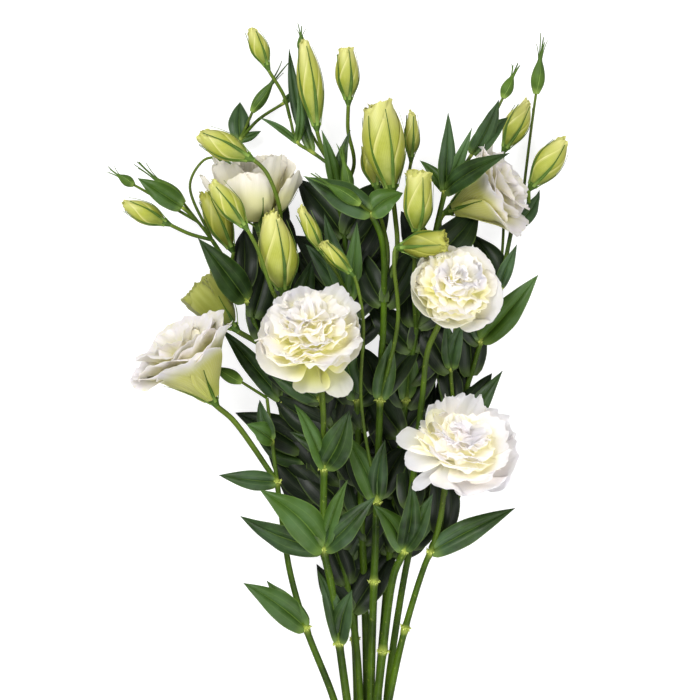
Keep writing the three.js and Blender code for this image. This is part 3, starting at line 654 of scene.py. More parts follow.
@dataclass(frozen=True)
class LeafFinish(Finish):
    """A leaf's waxy green, with its ribs, its bluish bloom in patches that are partly a painted
    highlight, and a near-black painted shade for leaves deep in the bunch.
    """

    dark: Rgb = (16, 32, 6)
    middle: Rgb = (40, 66, 14)
    young: Rgb = (60, 90, 18)
    # painted shade: near-black for leaves of low tint, which lie deep in the bunch
    painted_shade: Rgb = (5, 13, 3)
    vein: Rgb = (118, 146, 66)
    # bloom: a real bluish wax, laid in patches that also serve as a painted highlight
    bloom: Rgb = (88, 120, 84)
    bloom_and_highlight_share: float = 0.5
    wax: float = 0.04

    def coat(self, wiring: Wiring) -> Coat:
        """Works out the leaf's colours, ribs and relief.

        Args:
            wiring: adds the material's nodes.

        Returns:
            What goes to the shader.
        """
        across, along, tint = wiring.marks()
        patches = wiring.effect(Effect.MOTTLE, Scale=70.0, Low=0.3, High=0.7)
        bloom_and_highlight_patches = wiring.effect(Effect.MOTTLE, Scale=30.0, Low=0.42, High=0.8)
        fine = wiring.effect(Effect.VEINS, Across=across, Along=along, Count=9.0, Wander=0.12)
        margin = wiring.effect(Effect.MARGIN, Across=across, Start=0.9)
        grain = wiring.effect(Effect.MOTTLE, Scale=900.0, Low=0.3, High=0.7)
        off = wiring.work_out("ABSOLUTE", across)
        beside = wiring.work_out("ABSOLUTE", wiring.work_out("SUBTRACT", off, SIDE_RIB))
        rib = wiring.times(wiring.ease(off, 0.015, 0.05, 1.0, 0.0),
                           wiring.ease(along, 0.0, 0.95, 1.0, 0.15))
        lines = wiring.work_out("MAXIMUM", rib, wiring.ease(beside, 0.0, 0.04, 0.16, 0.0))
        # veins fade on leaves that are painted in shade
        unshaded = wiring.ease(tint, 0.0, 0.3, 0.4, 1.0)
        green = wiring.layered(
            self.dark,
            (self.middle, patches),
            (self.young, wiring.ease(tint, 0.55, 1.0)),
            # bluish waxy bloom in patches, partly a painted highlight
            (self.bloom, bloom_and_highlight_patches, self.bloom_and_highlight_share),
            # painted shade: a low tint turns the leaf near-black
            (self.painted_shade, wiring.ease(tint, 0.0, 0.2, 0.92, 0.0)),
            (self.vein, lines, 0.8, unshaded),
            (self.vein, fine, 0.05),
            (self.vein, margin, 0.3),
            (self.vein, wiring.ease(along, 0.0, 0.16, 0.65, 0.0), unshaded),
        )
        rough = wiring.ease(patches, 0.0, 1.0, self.roughness, self.roughness + 0.14)
        inputs = {"Base Color": green, "Roughness": rough, "Specular IOR Level": 0.26,
                  "Coat Weight": self.wax, "Coat Roughness": 0.35}
        return Coat(inputs, wiring.total((lines, -0.35), (fine, -0.25), (grain, 0.25)), 0.5, 0.2)


@dataclass(frozen=True)
class PetalFinish(Finish):
    """A petal's soft white, with a green depth and fine veins, and a painted shade and a painted glow
    deep in the bloom's folds.
    """

    # depth and cream: a petal's real colours towards its foot, also used to paint the shade deep in the
    # bloom's folds
    depth: Rgb = (220, 218, 92)
    cream: Rgb = (246, 242, 190)
    white: Rgb = (253, 250, 251)
    lilac: Rgb = (247, 240, 249)
    lime: Rgb = (204, 204, 66)
    vein: Rgb = (234, 232, 196)
    start: float = 0.36  # where along the petal the white begins
    reach: float = 0.8  # and where it is full
    scatter: float = 0.7
    streaks: float = 0.28
    washed: float = 0.5  # how much cream there is in patches
    through: Rgb = (83, 81, 60)  # colour of the painted glow deep in the bloom's folds, standing in for light that thin petals pass on

    def coat(self, wiring: Wiring) -> Coat:
        """Works out the petal's colours, veins and relief.

        Args:
            wiring: adds the material's nodes.

        Returns:
            What goes to the shader.
        """
        across, along, tint = wiring.marks()
        # depth marks how far a point lies inside the bloom's outline, where the folds lie in shade
        inside = wiring.mark("depth")
        clouds = wiring.effect(Effect.MOTTLE, Scale=60.0, Low=0.3, High=0.75)
        wash = wiring.effect(Effect.MOTTLE, Scale=95.0, Low=0.5, High=0.85)
        fine = wiring.effect(Effect.VEINS, Across=across, Along=along, Count=13.0, Wander=0.1)
        grain = wiring.effect(Effect.MOTTLE, Scale=700.0, Low=0.3, High=0.7)
        white = wiring.layered(self.white, (self.lilac, clouds, 0.55))
        body = wiring.layered(
            self.depth,
            (self.cream, wiring.ease(along, 0.08, 0.55)),
            (white, wiring.ease(along, self.start, self.reach)),
            # painted shade: deep in the bloom's folds the petals turn cream, then yellow-green
            (self.cream, wiring.ease(inside, 0.12, 0.7, 0.0, 0.7)),
            (self.depth, wiring.ease(inside, 0.45, 1.15, 0.0, 0.8)),
            (self.cream, wash, wiring.ease(along, 0.9, 1.0, 0.25, 1.0), self.washed),
            (self.lime, tint, wiring.ease(along, 0.3, 1.1, 1.0, 0.55)),
            (self.vein, fine, self.streaks),
        )
        # painted glow: deep in the bloom's folds the petals shine with the through colour, though they
        # are no lamp
        painted_glow = wiring.layered((0, 0, 0), (self.through, wiring.ease(inside, 0.15, 0.8)))
        inputs = {"Base Color": body, "Emission Color": painted_glow, "Emission Strength": 1.0,
                  "Subsurface Weight": self.scatter, "Subsurface Scale": 6.0 * MM,
                  "Subsurface Radius": (1.0, 0.97, 0.75), "Sheen Weight": 0.15,
                  "Sheen Roughness": 0.6}
        return Coat(inputs, wiring.total((fine, 0.6), (grain, 0.3)), 0.35, 0.2)


@dataclass(frozen=True)
class BudFinish(Finish):
    """The yellow-green of petals that are still wrapped."""

    foot: Rgb = (104, 122, 22)
    body: Rgb = (152, 158, 44)
    edge: Rgb = (202, 200, 120)
    vein: Rgb = (112, 118, 20)

    def coat(self, wiring: Wiring) -> Coat:
        """Works out the bud's colours, veins and relief.

        Args:
            wiring: adds the material's nodes.

        Returns:
            What goes to the shader.
        """
        across, along, tint = wiring.marks()
        rim = wiring.effect(Effect.MARGIN, Across=across, Start=0.8)
        fine = wiring.effect(Effect.VEINS, Across=across, Along=along, Count=11.0, Wander=0.06)
        clouds = wiring.effect(Effect.MOTTLE, Scale=90.0, Low=0.35, High=0.8)
        colour = wiring.layered(
            self.foot,
            (self.body, wiring.ease(along, 0.0, 0.5)),
            (self.edge, wiring.ease(along, 0.5, 1.0), wiring.ease(tint, 0.0, 1.0, 0.4, 1.0)),
            (self.edge, rim, 0.8),
            (self.vein, fine, 0.5),
            (self.edge, clouds, 0.3),
        )
        inputs = {"Base Color": colour, "Subsurface Weight": 0.15,
                  "Subsurface Scale": 1.2 * MM, "Subsurface Radius": (0.9, 1.0, 0.4)}
        return Coat(inputs, wiring.total((fine, 0.7), (clouds, 0.3)), 0.4, 0.2)


@dataclass(frozen=True)
class StemFinish(Finish):
    """A stem's fresh green skin, streaked along its length."""

    dark: Rgb = (26, 46, 4)
    light: Rgb = (74, 102, 10)
    scar: Rgb = (176, 190, 84)

    def coat(self, wiring: Wiring) -> Coat:
        """Works out the stem's colours, streaks and relief.

        Args:
            wiring: adds the material's nodes.

        Returns:
            What goes to the shader.
        """
        around, _, tint = wiring.marks()
        patches = wiring.effect(Effect.MOTTLE, Scale=45.0, Low=0.3, High=0.72)
        streak = wiring.effect(Effect.VEINS, Across=around, Along=0.0, Count=7.0, Wander=0.25)
        speck = wiring.effect(Effect.MOTTLE, Scale=420.0, Low=0.62, High=0.72)
        colour = wiring.layered(self.dark, (self.light, patches), (self.light, streak, 0.35),
                                (self.scar, tint), (self.scar, speck, 0.3))
        inputs = {"Base Color": colour, "Specular IOR Level": 0.2}
        return Coat(inputs, wiring.total((streak, 0.7), (patches, 0.4)), 0.5, 0.25)


@dataclass(frozen=True)
class PlainFinish(Finish):
    """Two colours in patches, with a fine grain: cut ends, papery scales and raffia."""

    first: Rgb
    second: Rgb
    scale: float
    stretch: tuple[float, float, float] = (1.0, 1.0, 1.0)
    grain: float = 0.15  # how high the grain stands, mm

    def coat(self, wiring: Wiring) -> Coat:
        """Works out the patches and the grain.

        Args:
            wiring: adds the material's nodes.

        Returns:
            What goes to the shader.
        """
        place = wiring.put("ShaderNodeTexCoord").outputs["Object"]
        turned = wiring.put("ShaderNodeMapping", {"Vector": place, "Scale": self.stretch})
        inputs = {"Vector": turned.outputs[0], "Scale": self.scale, "Detail": 5.0}
        noise = wiring.put("ShaderNodeTexNoise", inputs).outputs[0]
        colour = wiring.layered(self.first, (self.second, wiring.ease(noise, 0.3, 0.7)))
        return Coat({"Base Color": colour}, noise, 0.6, self.grain)


LEAF_FRONT = LeafFinish("leaf_upper_face", 0.42)
LEAF_BACK = LeafFinish("leaf_lower_face", 0.55, dark=(72, 104, 62), middle=(98, 132, 82),
                       bloom=(150, 172, 144), wax=0.0)
SEPAL = LeafFinish("sepal", 0.5, dark=(48, 76, 16), middle=(80, 110, 28), bloom_and_highlight_share=0.1,
                   vein=(150, 178, 84), wax=0.02)
PETAL = PetalFinish("white_petal", 0.55)
# SNOW_PETAL's through is the colour of its painted glow in deep folds
SNOW_PETAL = PetalFinish("snow_petal", 0.55, depth=(240, 236, 184), cream=(251, 248, 238),
                         start=0.0, reach=0.45, streaks=0.12, washed=0.3, through=(82, 80, 72))
CREAM_PETAL = PetalFinish("cream_petal", 0.55, white=(238, 232, 218), lilac=(224, 216, 210),
                          cream=(210, 206, 144), depth=(168, 170, 84), vein=(202, 198, 146),
                          start=0.58, reach=1.0, scatter=0.3, washed=0.9)
FUNNEL_PETAL = PetalFinish("funnel_petal", 0.55, depth=(184, 192, 56), cream=(216, 214, 104),
                           start=0.62, reach=1.0, vein=(240, 236, 186), streaks=0.5, scatter=0.4,
                           white=(248, 242, 244), lilac=(236, 228, 238), washed=0.9)
OLIVE_PETAL = PetalFinish("olive_petal", 0.55, depth=(96, 110, 14), cream=(132, 140, 36),
                          white=(166, 170, 74), lilac=(152, 156, 60), start=0.5, reach=1.1,
                          vein=(108, 120, 28), streaks=0.4, scatter=0.15)
BUD = BudFinish("wrapped_petal", 0.48)
# painted shade: a darker olive copy of the wrapped petals' colour
SHADED_BUD = BudFinish("shaded_wrapped_petal", 0.5, foot=(92, 100, 16), body=(128, 134, 30),
                    edge=(178, 178, 80), vein=(100, 100, 16))
STEM = StemFinish("stem_skin", 0.42)
CUT = PlainFinish("cut_stem", 0.7, (206, 214, 160), (176, 190, 120), 900.0)
SCALE = PlainFinish("node_scale", 0.75, (204, 214, 112), (156, 172, 66), 800.0)
RAFFIA = PlainFinish("raffia", 0.7, (206, 182, 128), (166, 136, 84), 160.0, (1.0, 6.0, 1.0), 0.3)
TABLE = PlainFinish("table", 0.9, (170, 170, 170), (166, 166, 166), 20.0, grain=0.02)


# ---------------------------------------------------------------- petals


def profile(share: Array, root: Pair, belly: Pair,
            mouth: Pair) -> tuple[Array, Array]:
    """Follows a petal's middle line, seen from the side.

    Args:
        share: how far from root to edge.
        root: radius and height where it starts.
        belly: the pull on the line.
        mouth: radius and height where it ends.

    Returns:
        Radius and height at each share, and the way that the petal's outside looks there.
    """
    share = np.asarray(share, float)[..., None]
    first, pull, last = (np.array(place) for place in (root, belly, mouth))
    line = (1 - share) ** 2 * first + 2 * share * (1 - share) * pull + share ** 2 * last
    slope = unit((1 - share) * (pull - first) + share * (last - pull))
    return line, np.stack([slope[..., 1], -slope[..., 0]], -1)


@dataclass(frozen=True)
class Petal:
    """One petal: it rises from the flower's foot, widens, and ends in a frilled edge."""

    turn: float  # round the axis
    root: Pair  # radius and height where it starts
    belly: Pair  # the pull on its middle line
    mouth: Pair  # radius and height of its edge
    half_width: float
    ruffle: float  # how far its edge waves
    waves: float  # how many waves from side to side
    wrap: float = 0.0  # how closely it follows the ring round the axis
    cup: float = 0.0  # how far its sides lift
    curl: float = 0.0  # how far its edge rolls out
    skew: float = 0.0  # how far it turns about its own middle line
    tuck: float = 0.0  # one side lies outside its neighbour, the other inside
    crumple: float = 0.0
    fringe: float = 0.02  # how ragged its edge is
    tint: float = 0.0

    ROWS, COLUMNS = 15, 27
    THICKNESS = 0.35 * MM
    FURTHEST_BEND = 1.9  # how far round the axis a petal may reach to each side, radians

    def add_to(self, skin: Skin, axes: Axes) -> None:
        """Builds the petal.

        Args:
            skin: takes it.
            axes: the flower's directions.
        """
        across, along = grid(self.ROWS, self.COLUMNS)
        along = along ** 0.85
        phase = skin.draw.uniform(0, FULL_TURN, 8)
        teeth = ripples(phase, (1, 9 * across), (1, 15 * across), (0.7, 26 * across))
        edge = 1 - 0.16 * np.abs(across) ** 2.4 + self.fringe * teeth
        share = along * (1 + (edge - 1) * along ** 2)
        line, normal = profile(share, self.root, self.belly, self.mouth)
        width = 0.22 + 0.78 * np.sin(QUARTER_TURN * ramp(along, 0, 0.72)) ** 1.15
        width = self.half_width * width * (1 - 0.10 * ramp(along, 0.8, 0.2) ** 2)
        reach = np.maximum(line[..., 0], 0.3 * self.half_width)
        bend = np.clip(across * width * self.wrap / reach, -self.FURTHEST_BEND, self.FURTHEST_BEND)
        sideways, inwards = across * width, 0.0
        if self.wrap:
            sideways = np.sin(bend) * reach / self.wrap
            inwards = (1 - np.cos(bend)) * reach / self.wrap
        pace = self.waves * math.pi * across
        wave = ripples(phase[3:], (1, pace), (0.6, 1.9 * pace + 2 * along),
                       (0.35, 3.3 * pace - 3 * along))
        lift = self.ruffle * wave * along ** 2.4
        lift = lift - self.cup * self.half_width * across ** 2 * np.minimum(1, 2 * along)
        lift = lift + self.curl * ramp(along, 0.62, 0.38) ** 2 - self.tuck * across * along
        folds = np.sin(4.1 * across + 5 * along + phase[6]) * np.sin(3.2 * across - 7 * along + phase[7])
        lift = lift + self.crumple * folds * along
        turned = self.skew * along
        side = sideways * np.cos(turned) - lift * np.sin(turned)
        off = sideways * np.sin(turned) + lift * np.cos(turned)
        out = axes.outward(self.turn)
        tangent = np.cross(axes.along, out)
        out_share = np.cos(bend)[..., None] * out + np.sin(bend)[..., None] * tangent
        away = normal[..., :1] * out_share + normal[..., 1:] * axes.along
        middle = axes.origin + (line[..., 0] - inwards)[..., None] * out
        middle = middle + line[..., 1:] * axes.along + side[..., None] * tangent
        middle = middle + off[..., None] * away
        thick = self.THICKNESS * (1 - 0.6 * along ** 2) * (1 - 0.35 * across ** 4)
        skin.sheet(middle, thick, along, across, self.tint)


class BloomForm(Enum):
    """How far a flower has opened, and into what shape."""

    FULL = "full"
    FUNNEL = "funnel"
    CUP = "cup"
    GOBLET = "goblet"


@dataclass(frozen=True)
class Whorl:
    """One layer of petals, in shares of the mouth's radius."""

    count: int
    mouth: Pair
    belly: Pair
    half_width: float
    ruffle: float
    waves: float
    wrap: float
    cup: float
    curl: float
    loose: float  # how much its petals differ in place and lean


WHORLS: dict[BloomForm, tuple[Whorl, ...]] = {
    BloomForm.FULL: (
        Whorl(5, (1.02, 0.44), (0.72, 0.02), 0.58, 0.03, 0.9, 0.1, 0.16, 0.04, 0.08),
        Whorl(7, (0.88, 0.62), (0.74, 0.08), 0.54, 0.04, 1.1, 0.3, 0.15, 0.16, 0.2),
        Whorl(8, (0.74, 0.78), (0.66, 0.14), 0.46, 0.05, 1.3, 0.4, 0.15, 0.26, 0.35),
        Whorl(8, (0.58, 0.90), (0.56, 0.24), 0.42, 0.05, 1.4, 0.4, 0.12, 0.32, 0.45),
        Whorl(8, (0.42, 1.00), (0.44, 0.34), 0.38, 0.05, 1.5, 0.4, 0.1, 0.36, 0.5),
        Whorl(8, (0.27, 1.07), (0.30, 0.44), 0.34, 0.05, 1.5, 0.3, 0.1, 0.36, 0.55),
        Whorl(6, (0.13, 1.12), (0.16, 0.50), 0.30, 0.05, 1.5, 0.3, 0.1, 0.32, 0.6),
        Whorl(5, (0.03, 1.15), (0.06, 0.55), 0.24, 0.045, 1.4, 0.2, 0.1, 0.24, 0.8),
        Whorl(8, (0.66, 0.62), (0.54, 0.30), 0.36, 0.05, 1.4, 0.4, 0.1, 0.30, 0.5),
        Whorl(7, (0.36, 0.84), (0.34, 0.46), 0.28, 0.05, 1.5, 0.4, 0.1, 0.34, 0.5),
    ),
    BloomForm.FUNNEL: (
        Whorl(5, (1.00, 1.36), (0.46, 0.62), 0.76, 0.05, 1.1, 0.8, 0.0, 0.14, 0.12),
        Whorl(5, (0.80, 1.50), (0.40, 0.70), 0.68, 0.055, 1.1, 0.8, 0.0, 0.24, 0.2),
        Whorl(4, (0.50, 1.60), (0.28, 0.80), 0.60, 0.055, 1.2, 0.75, 0.0, 0.26, 0.3),
        Whorl(4, (0.22, 1.60), (0.14, 0.84), 0.46, 0.055, 1.3, 0.5, 0.0, 0.20, 0.5),
    ),
    BloomForm.CUP: (
        Whorl(5, (0.98, 1.34), (1.12, 0.30), 0.66, 0.06, 1.2, 0.9, 0.0, 0.14, 0.35),
        Whorl(5, (0.78, 1.66), (0.94, 0.50), 0.60, 0.07, 1.3, 0.9, 0.0, 0.14, 0.3),
        Whorl(5, (0.46, 1.68), (0.54, 0.60), 0.42, 0.06, 1.6, 0.8, 0.0, 0.03, 0.3),
        Whorl(4, (0.22, 1.60), (0.26, 0.60), 0.28, 0.06, 1.6, 0.5, 0.0, 0.02, 0.4),
    ),
    BloomForm.GOBLET: (
        Whorl(5, (0.92, 2.60), (1.02, 0.80), 0.84, 0.07, 1.4, 0.95, 0.0, 0.06, 0.05),
        Whorl(5, (0.62, 2.58), (0.72, 0.90), 0.62, 0.07, 1.5, 0.9, 0.0, 0.04, 0.1),
        Whorl(3, (0.26, 2.48), (0.32, 1.00), 0.40, 0.06, 1.5, 0.7, 0.0, 0.02, 0.2),
    ),
}


@dataclass(frozen=True)
class Guard:
    """An outermost petal placed by itself, in shares of the mouth's radius."""

    turn: float  # degrees round the axis
    reach: float
    rise: float
    half_width: float
    tint: float = 0.05
    cup: float = 0.2
    sag: float = 0.02  # how low its middle line runs
    curl: float = 0.02
    frill: float = 1.0  # how much its edge waves


@dataclass(frozen=True)
class BloomPlan:
    """An open flower: where it stands and how it opens."""

    stem: str
    stalk: tuple[Place, ...]
    base: Place
    axis: tuple[float, float, float]
    radius: float
    form: BloomForm
    guards: tuple[Guard, ...] = ()  # outermost petals that stand in their own way
    finish: PetalFinish = PETAL
    frill: float = 1.0  # how much its inner petals wave
    lean: Pair = (0.0, 0.0)  # the way its inner petals lean, and how far, degrees
    dome: float = 1.0  # their share of the radius

    def axes(self) -> Axes:
        """Returns the flower's own directions."""
        return Axes.at(spot(self.base), np.array(self.axis))

    def inner_axes(self) -> Axes:
        """Leans the flower's directions for its inner petals.

        Returns:
            Their directions.
        """
        axes = self.axes()
        turn, far = (math.radians(angle) for angle in self.lean)
        return Axes.at(axes.origin, axes.along * math.cos(far) + axes.outward(turn) * math.sin(far))

    def foot(self) -> float:
        """Returns the radius of the flower's own foot, mm."""
        return RECEPTACLE_RADIUS

    def girth(self) -> float:
        """Returns its stalk's thickness, mm."""
        return FLOWER_STALK

    def sepal_width(self) -> float:
        """Returns half a sepal's width at its foot, mm."""
        return SEPAL_WIDTH

    def sepal_line(self, share: Array) -> tuple[Array, Array]:
        """Follows the outside of an outer petal, where the sepals lie.

        Args:
            share: how far along the sepal.

        Returns:
            Radius and height in metres.
        """
        full = self.form is BloomForm.FULL
        whorl = WHORLS[self.form][0]
        belly, mouth = (np.array(place) * self.radius for place in (whorl.belly, whorl.mouth))
        reach = share * BLOOM_SEPAL_REACH * (0.8 if full else 1.0)
        line, away = profile(reach, PETAL_ROOT, belly, mouth)
        off = BLOOM_SEPAL_GAP + SEPAL_FLARE * share + (0.22 * self.radius * share ** 2 if full else 0)
        line = (line + off[:, None] * away) * MM
        return line[:, 0], line[:, 1]


@dataclass(frozen=True)
class BudPlan:
    """A bud: its stalk, its foot and tip, and how far it has opened."""

    stem: str
    stalk: tuple[Place, ...]
    base: Place
    tip: Place
    width: float
    belly: float = 0.42
    open: float = 0.2
    finish: BudFinish = BUD

    def axes(self) -> Axes:
        """Returns the bud's own directions."""
        foot = spot(self.base)
        return Axes.at(foot, spot(self.tip) - foot)

    def length(self) -> float:
        """Returns the bud's length in metres."""
        return float(np.linalg.norm(spot(self.tip) - spot(self.base)))

    def foot(self) -> float:
        """Returns the radius of the bud's own foot, mm."""
        return self.width / 2 * BUD_FOOT * (1 + BUD_RIDGE)

    def girth(self) -> float:
        """Returns its stalk's thickness, mm."""
        return 1.5 + 0.06 * self.width

    def sepal_width(self) -> float:
        """Returns half a sepal's width at its foot, mm."""
        return SLIM_SEPAL_WIDTH if self.width < SMALL_BUD else SEPAL_WIDTH

    def outline(self, share: Array) -> Array:
        """Follows the bud's width along its length.

        Args:
            share: how far from foot to tip.

        Returns:
            Shares of its full radius.
        """
        low = BUD_FOOT + (1 - BUD_FOOT) * np.sin(QUARTER_TURN * share / self.belly)
        past = ramp(share, self.belly, 1 - self.belly)
        high = self.open + (1 - self.open) * np.cos(QUARTER_TURN * past)
        return np.where(share < self.belly, low, high)

    def sepal_line(self, share: Array) -> tuple[Array, Array]:
        """Follows the outside of the bud, where the sepals lie.

        Args:
            share: how far along the sepal.

        Returns:
            Radius and height in metres.
        """
        reach = BUD_SEPAL_REACH * share
        radius = self.width / 2 * self.outline(reach) * (1 + 0.4 * BUD_RIDGE)
        return (radius + SEPAL_GAP + SEPAL_FLARE * share ** 2) * MM, self.length() * reach


Flower = BloomPlan | BudPlan


@dataclass
class Bloom:
    """An open flower's petals, layer inside layer."""

    name: str
    plan: BloomPlan
    seed: int

    def petals(self, draw: np.random.Generator) -> Iterable[Petal]:
        """Works out every petal, from the outside in.

        Args:
            draw: where their small differences come from.

        Yields:
            The petals.
        """
        radius = self.plan.radius * MM
        frill = self.plan.frill
        for guard in self.plan.guards:
            yield Petal(
                turn=math.radians(guard.turn), root=(PETAL_ROOT[0] * MM, PETAL_ROOT[1] * MM),
                belly=(0.7 * guard.reach * radius, guard.sag * radius),
                mouth=(guard.reach * radius, guard.rise * radius),
                half_width=guard.half_width * radius, ruffle=0.022 * guard.frill * radius,
                waves=0.8 * guard.frill, cup=guard.cup, curl=guard.curl * radius,
                crumple=0.008 * guard.frill * radius, fringe=0.007 * guard.frill,
                tint=guard.tint, skew=0.1 * draw.normal(),
            )
        for layer, whorl in enumerate(WHORLS[self.plan.form]):
            if layer == 0 and self.plan.guards:
                radius *= self.plan.dome
                continue
            root = (max(PETAL_ROOT[0] - 0.5 * layer, 0.4) * MM, (PETAL_ROOT[1] + 1.2 * layer) * MM)
            for number in range(whorl.count):
                turn = FULL_TURN * (number + 0.5 * (layer % 2)) / whorl.count
                turn += draw.normal(0, whorl.loose / whorl.count + 0.04)
                wide = radius * (1 + 0.12 * draw.normal() * whorl.loose)
                high = radius * (1 + 0.05 * draw.normal() * (0.3 + whorl.loose))
                yield Petal(
                    turn=turn, root=root, belly=(whorl.belly[0] * wide, whorl.belly[1] * radius),
                    mouth=(whorl.mouth[0] * wide, whorl.mouth[1] * high),
                    half_width=whorl.half_width * radius * (1 + 0.08 * draw.normal()),
                    ruffle=whorl.ruffle * radius * frill, waves=whorl.waves * frill,
                    wrap=whorl.wrap, cup=whorl.cup,
                    curl=whorl.curl * radius * (1 + 0.4 * draw.normal()),
                    skew=0.55 * whorl.loose * draw.normal(), tuck=PETAL_TUCK * MM,
                    crumple=0.02 * radius * (0.3 + whorl.loose),
                    fringe=0.006 + 0.005 * draw.random(), tint=0.07 * draw.random(),
                )

    def build(self) -> Piece:
        """Makes the flower's petals.

        Returns:
            The piece.
        """
        plan = self.plan
        skin = Skin(self.seed)
        for number, petal in enumerate(self.petals(skin.draw)):
            petal.add_to(skin, plan.axes() if number < len(plan.guards) else plan.inner_axes())
        # for full blooms, the depth mark places the petals' painted shade and painted glow in the folds
        if plan.form is BloomForm.FULL:
            skin.deepen(plan.axes(), 0.4 * plan.radius * MM, 0.6 * plan.radius * MM)
        piece = skin.piece(f"petals_{self.name}", plan.finish)
        return finished(piece, "petal", f"bloom_{self.name}")


@dataclass
class Bud:
    """Five petals wrapped round each other in a climbing twist."""

    name: str
    plan: BudPlan
    seed: int
    twist: float = 1.5  # radians from foot to tip
    petals: int = 5
    span: float = math.radians(152)  # how far round each petal reaches
    lift: float = 0.3 * MM  # how far the petals start above the foot

    ROWS, COLUMNS = 30, 22

    def wrapped(self, skin: Skin, shrink: float) -> None:
        """Adds one ring of wrapped petals.

        Args:
            skin: takes the petals.
            shrink: the ring's share of the bud's full radius.
        """
        plan = self.plan
        radius = plan.width / 2 * MM * shrink
        frill = (0.35 + 1.2 * plan.open) * MM
        across, along = grid(self.ROWS, self.COLUMNS)
        for number in range(self.petals):
            phase = skin.draw.uniform(0, FULL_TURN, 4)
            top = 1 - 0.10 * np.abs(across + 0.2) ** 2.2 + 0.03 * skin.draw.normal()
            top = top + ripples(phase, (0.012, 11 * across), (0.008, 23 * across))
            share = along * (1 + (top - 1) * along ** 2)
            size = plan.outline(np.minimum(share, 1)) * (1 - BUD_RIDGE * across)
            narrow = 0.55 + 0.45 * np.sin(QUARTER_TURN * ramp(along, 0, 0.35))
            turn = FULL_TURN * number / self.petals + across * self.span / 2 * narrow
            turn = turn + self.twist * share + 0.5 * share ** 4
            waves = ripples(phase[2:], (1, 5.5 * across), (0.6, 11 * across))
            out = radius * size + frill * ramp(along, 0.84, 0.16) ** 2 * (0.9 * waves + 0.7 * plan.open)
            height = self.lift + share * (plan.length() - self.lift)
            middle = plan.axes().around(turn, np.maximum(out, 0.25 * MM), height)
            thick = 0.34 * MM * (1 - 0.5 * along ** 3) * (1 - 0.5 * across ** 4)
            skin.sheet(middle, thick, along, across, skin.draw.random())

    def build(self) -> Piece:
        """Makes the bud's petals.

        Returns:
            The piece.
        """
        skin = Skin(self.seed)
        self.wrapped(skin, 0.97)
        if self.plan.open > TWICE_WRAPPED:
            self.wrapped(skin, 0.62)
        piece = skin.piece(f"wrapped_petals_{self.name}", self.plan.finish)
        return finished(piece, "bud", f"bud_{self.name}")


# ---------------------------------------------------------------- leaves, sepals and stems


@dataclass(frozen=True)
class LeafPlan:
    """A leaf: where it leaves the stem, where its tip is, its width in mm and its roll."""

    base: Place
    tip: Place
    width: float
    roll: float = 0.0
    arch: float = LEAF_ARCH


@dataclass(frozen=True)
class Blade:
    """A leaf in metres, clasping at the stem, widest below the middle and pointed."""

    root: Array
    run: Array  # from root to tip
    width: float
    roll: float  # degrees
    arch: float
    tint: float
    columns: int = 13
    rows: int = 26
    widest: float = 0.37

    def add_to(self, skin: Skin) -> None:
        """Builds the leaf.

        Args:
            skin: takes it.
        """
        axes = Axes.at(self.root, self.run)
        length = float(np.linalg.norm(self.run))
        turn = math.radians(self.roll)
        top, sideways = axes.outward(turn), axes.outward(turn + QUARTER_TURN)
        across, along = grid(self.rows, self.columns)
        size = np.abs(across)
        clasp = max(0.42, 3 * MM / self.width)
        low = clasp + (1 - clasp) * np.sin(QUARTER_TURN * ramp(along, 0, self.widest)) ** 0.5
        past = ramp(along, self.widest, 1 - self.widest)
        high = np.cos(QUARTER_TURN * past) * (1 - 0.4 * past ** 2 * (1 - past))
        outline = np.where(along < self.widest, low, high)
        half = np.maximum(LEAF_BREADTH * self.width / 2 * outline, 0.12 * MM)
        phase = skin.draw.uniform(0, FULL_TURN, 4)
        arc = np.sin(math.pi * along)
        wave = ripples(phase, (1, FULL_TURN * 1.4 * along + 1.3 * np.sign(across)),
                       (0.5, FULL_TURN * 3.1 * along + 2 * across))
        rib = np.exp(-(across / 0.07) ** 2) * (1 - 0.8 * along)
        side_rib = np.exp(-((size - SIDE_RIB) / 0.09) ** 2) * arc
        lift = LEAF_FOLD * (1 - 0.25 * along) * half * size
        lift = lift + 0.045 * self.width * wave * size ** 2 * arc
        lift = lift - 0.3 * MM * rib - 0.1 * MM * side_rib
        lift = lift + LEAF_BULGE * half * np.sin(math.pi * size ** 0.8) * (1 - 0.5 * along)
        nod = 0.05 * skin.draw.random() * ramp(along, 0.7, 0.3) ** 2
        lift = lift + length * (self.arch * arc - nod)
        drift = 0.03 * length * skin.draw.normal() * arc
        middle = self.root + along[..., None] * self.run + lift[..., None] * top
        middle = middle + (across * half * np.cos(0.2 * size) + drift)[..., None] * sideways
        thick = 0.42 * MM * (1 - 0.55 * size ** 3) * (1 - 0.45 * along) + 0.3 * MM * rib
        skin.sheet(middle, thick, along, across, self.tint, (0, 1))


@dataclass(frozen=True)
class Shoot:
    """A side shoot: its girth in mm and the places on its way."""

    girth: float
    route: tuple[Place, ...]


@dataclass(frozen=True)
class StemPlan:
    """A leafy stem: its slot in the tie, its girth at foot and top, its way and its leaves."""

    slot: Pair
    girth: Pair
    route: tuple[Place, ...]
    leaves: tuple[LeafPlan, ...]
    shoots: tuple[Shoot, ...] = ()
    rings: tuple[int, ...] = ()  # places on its way with a node whose leaves have dropped
    bare: float = 212.0  # how far from its cut end the lesser leaves start, mm


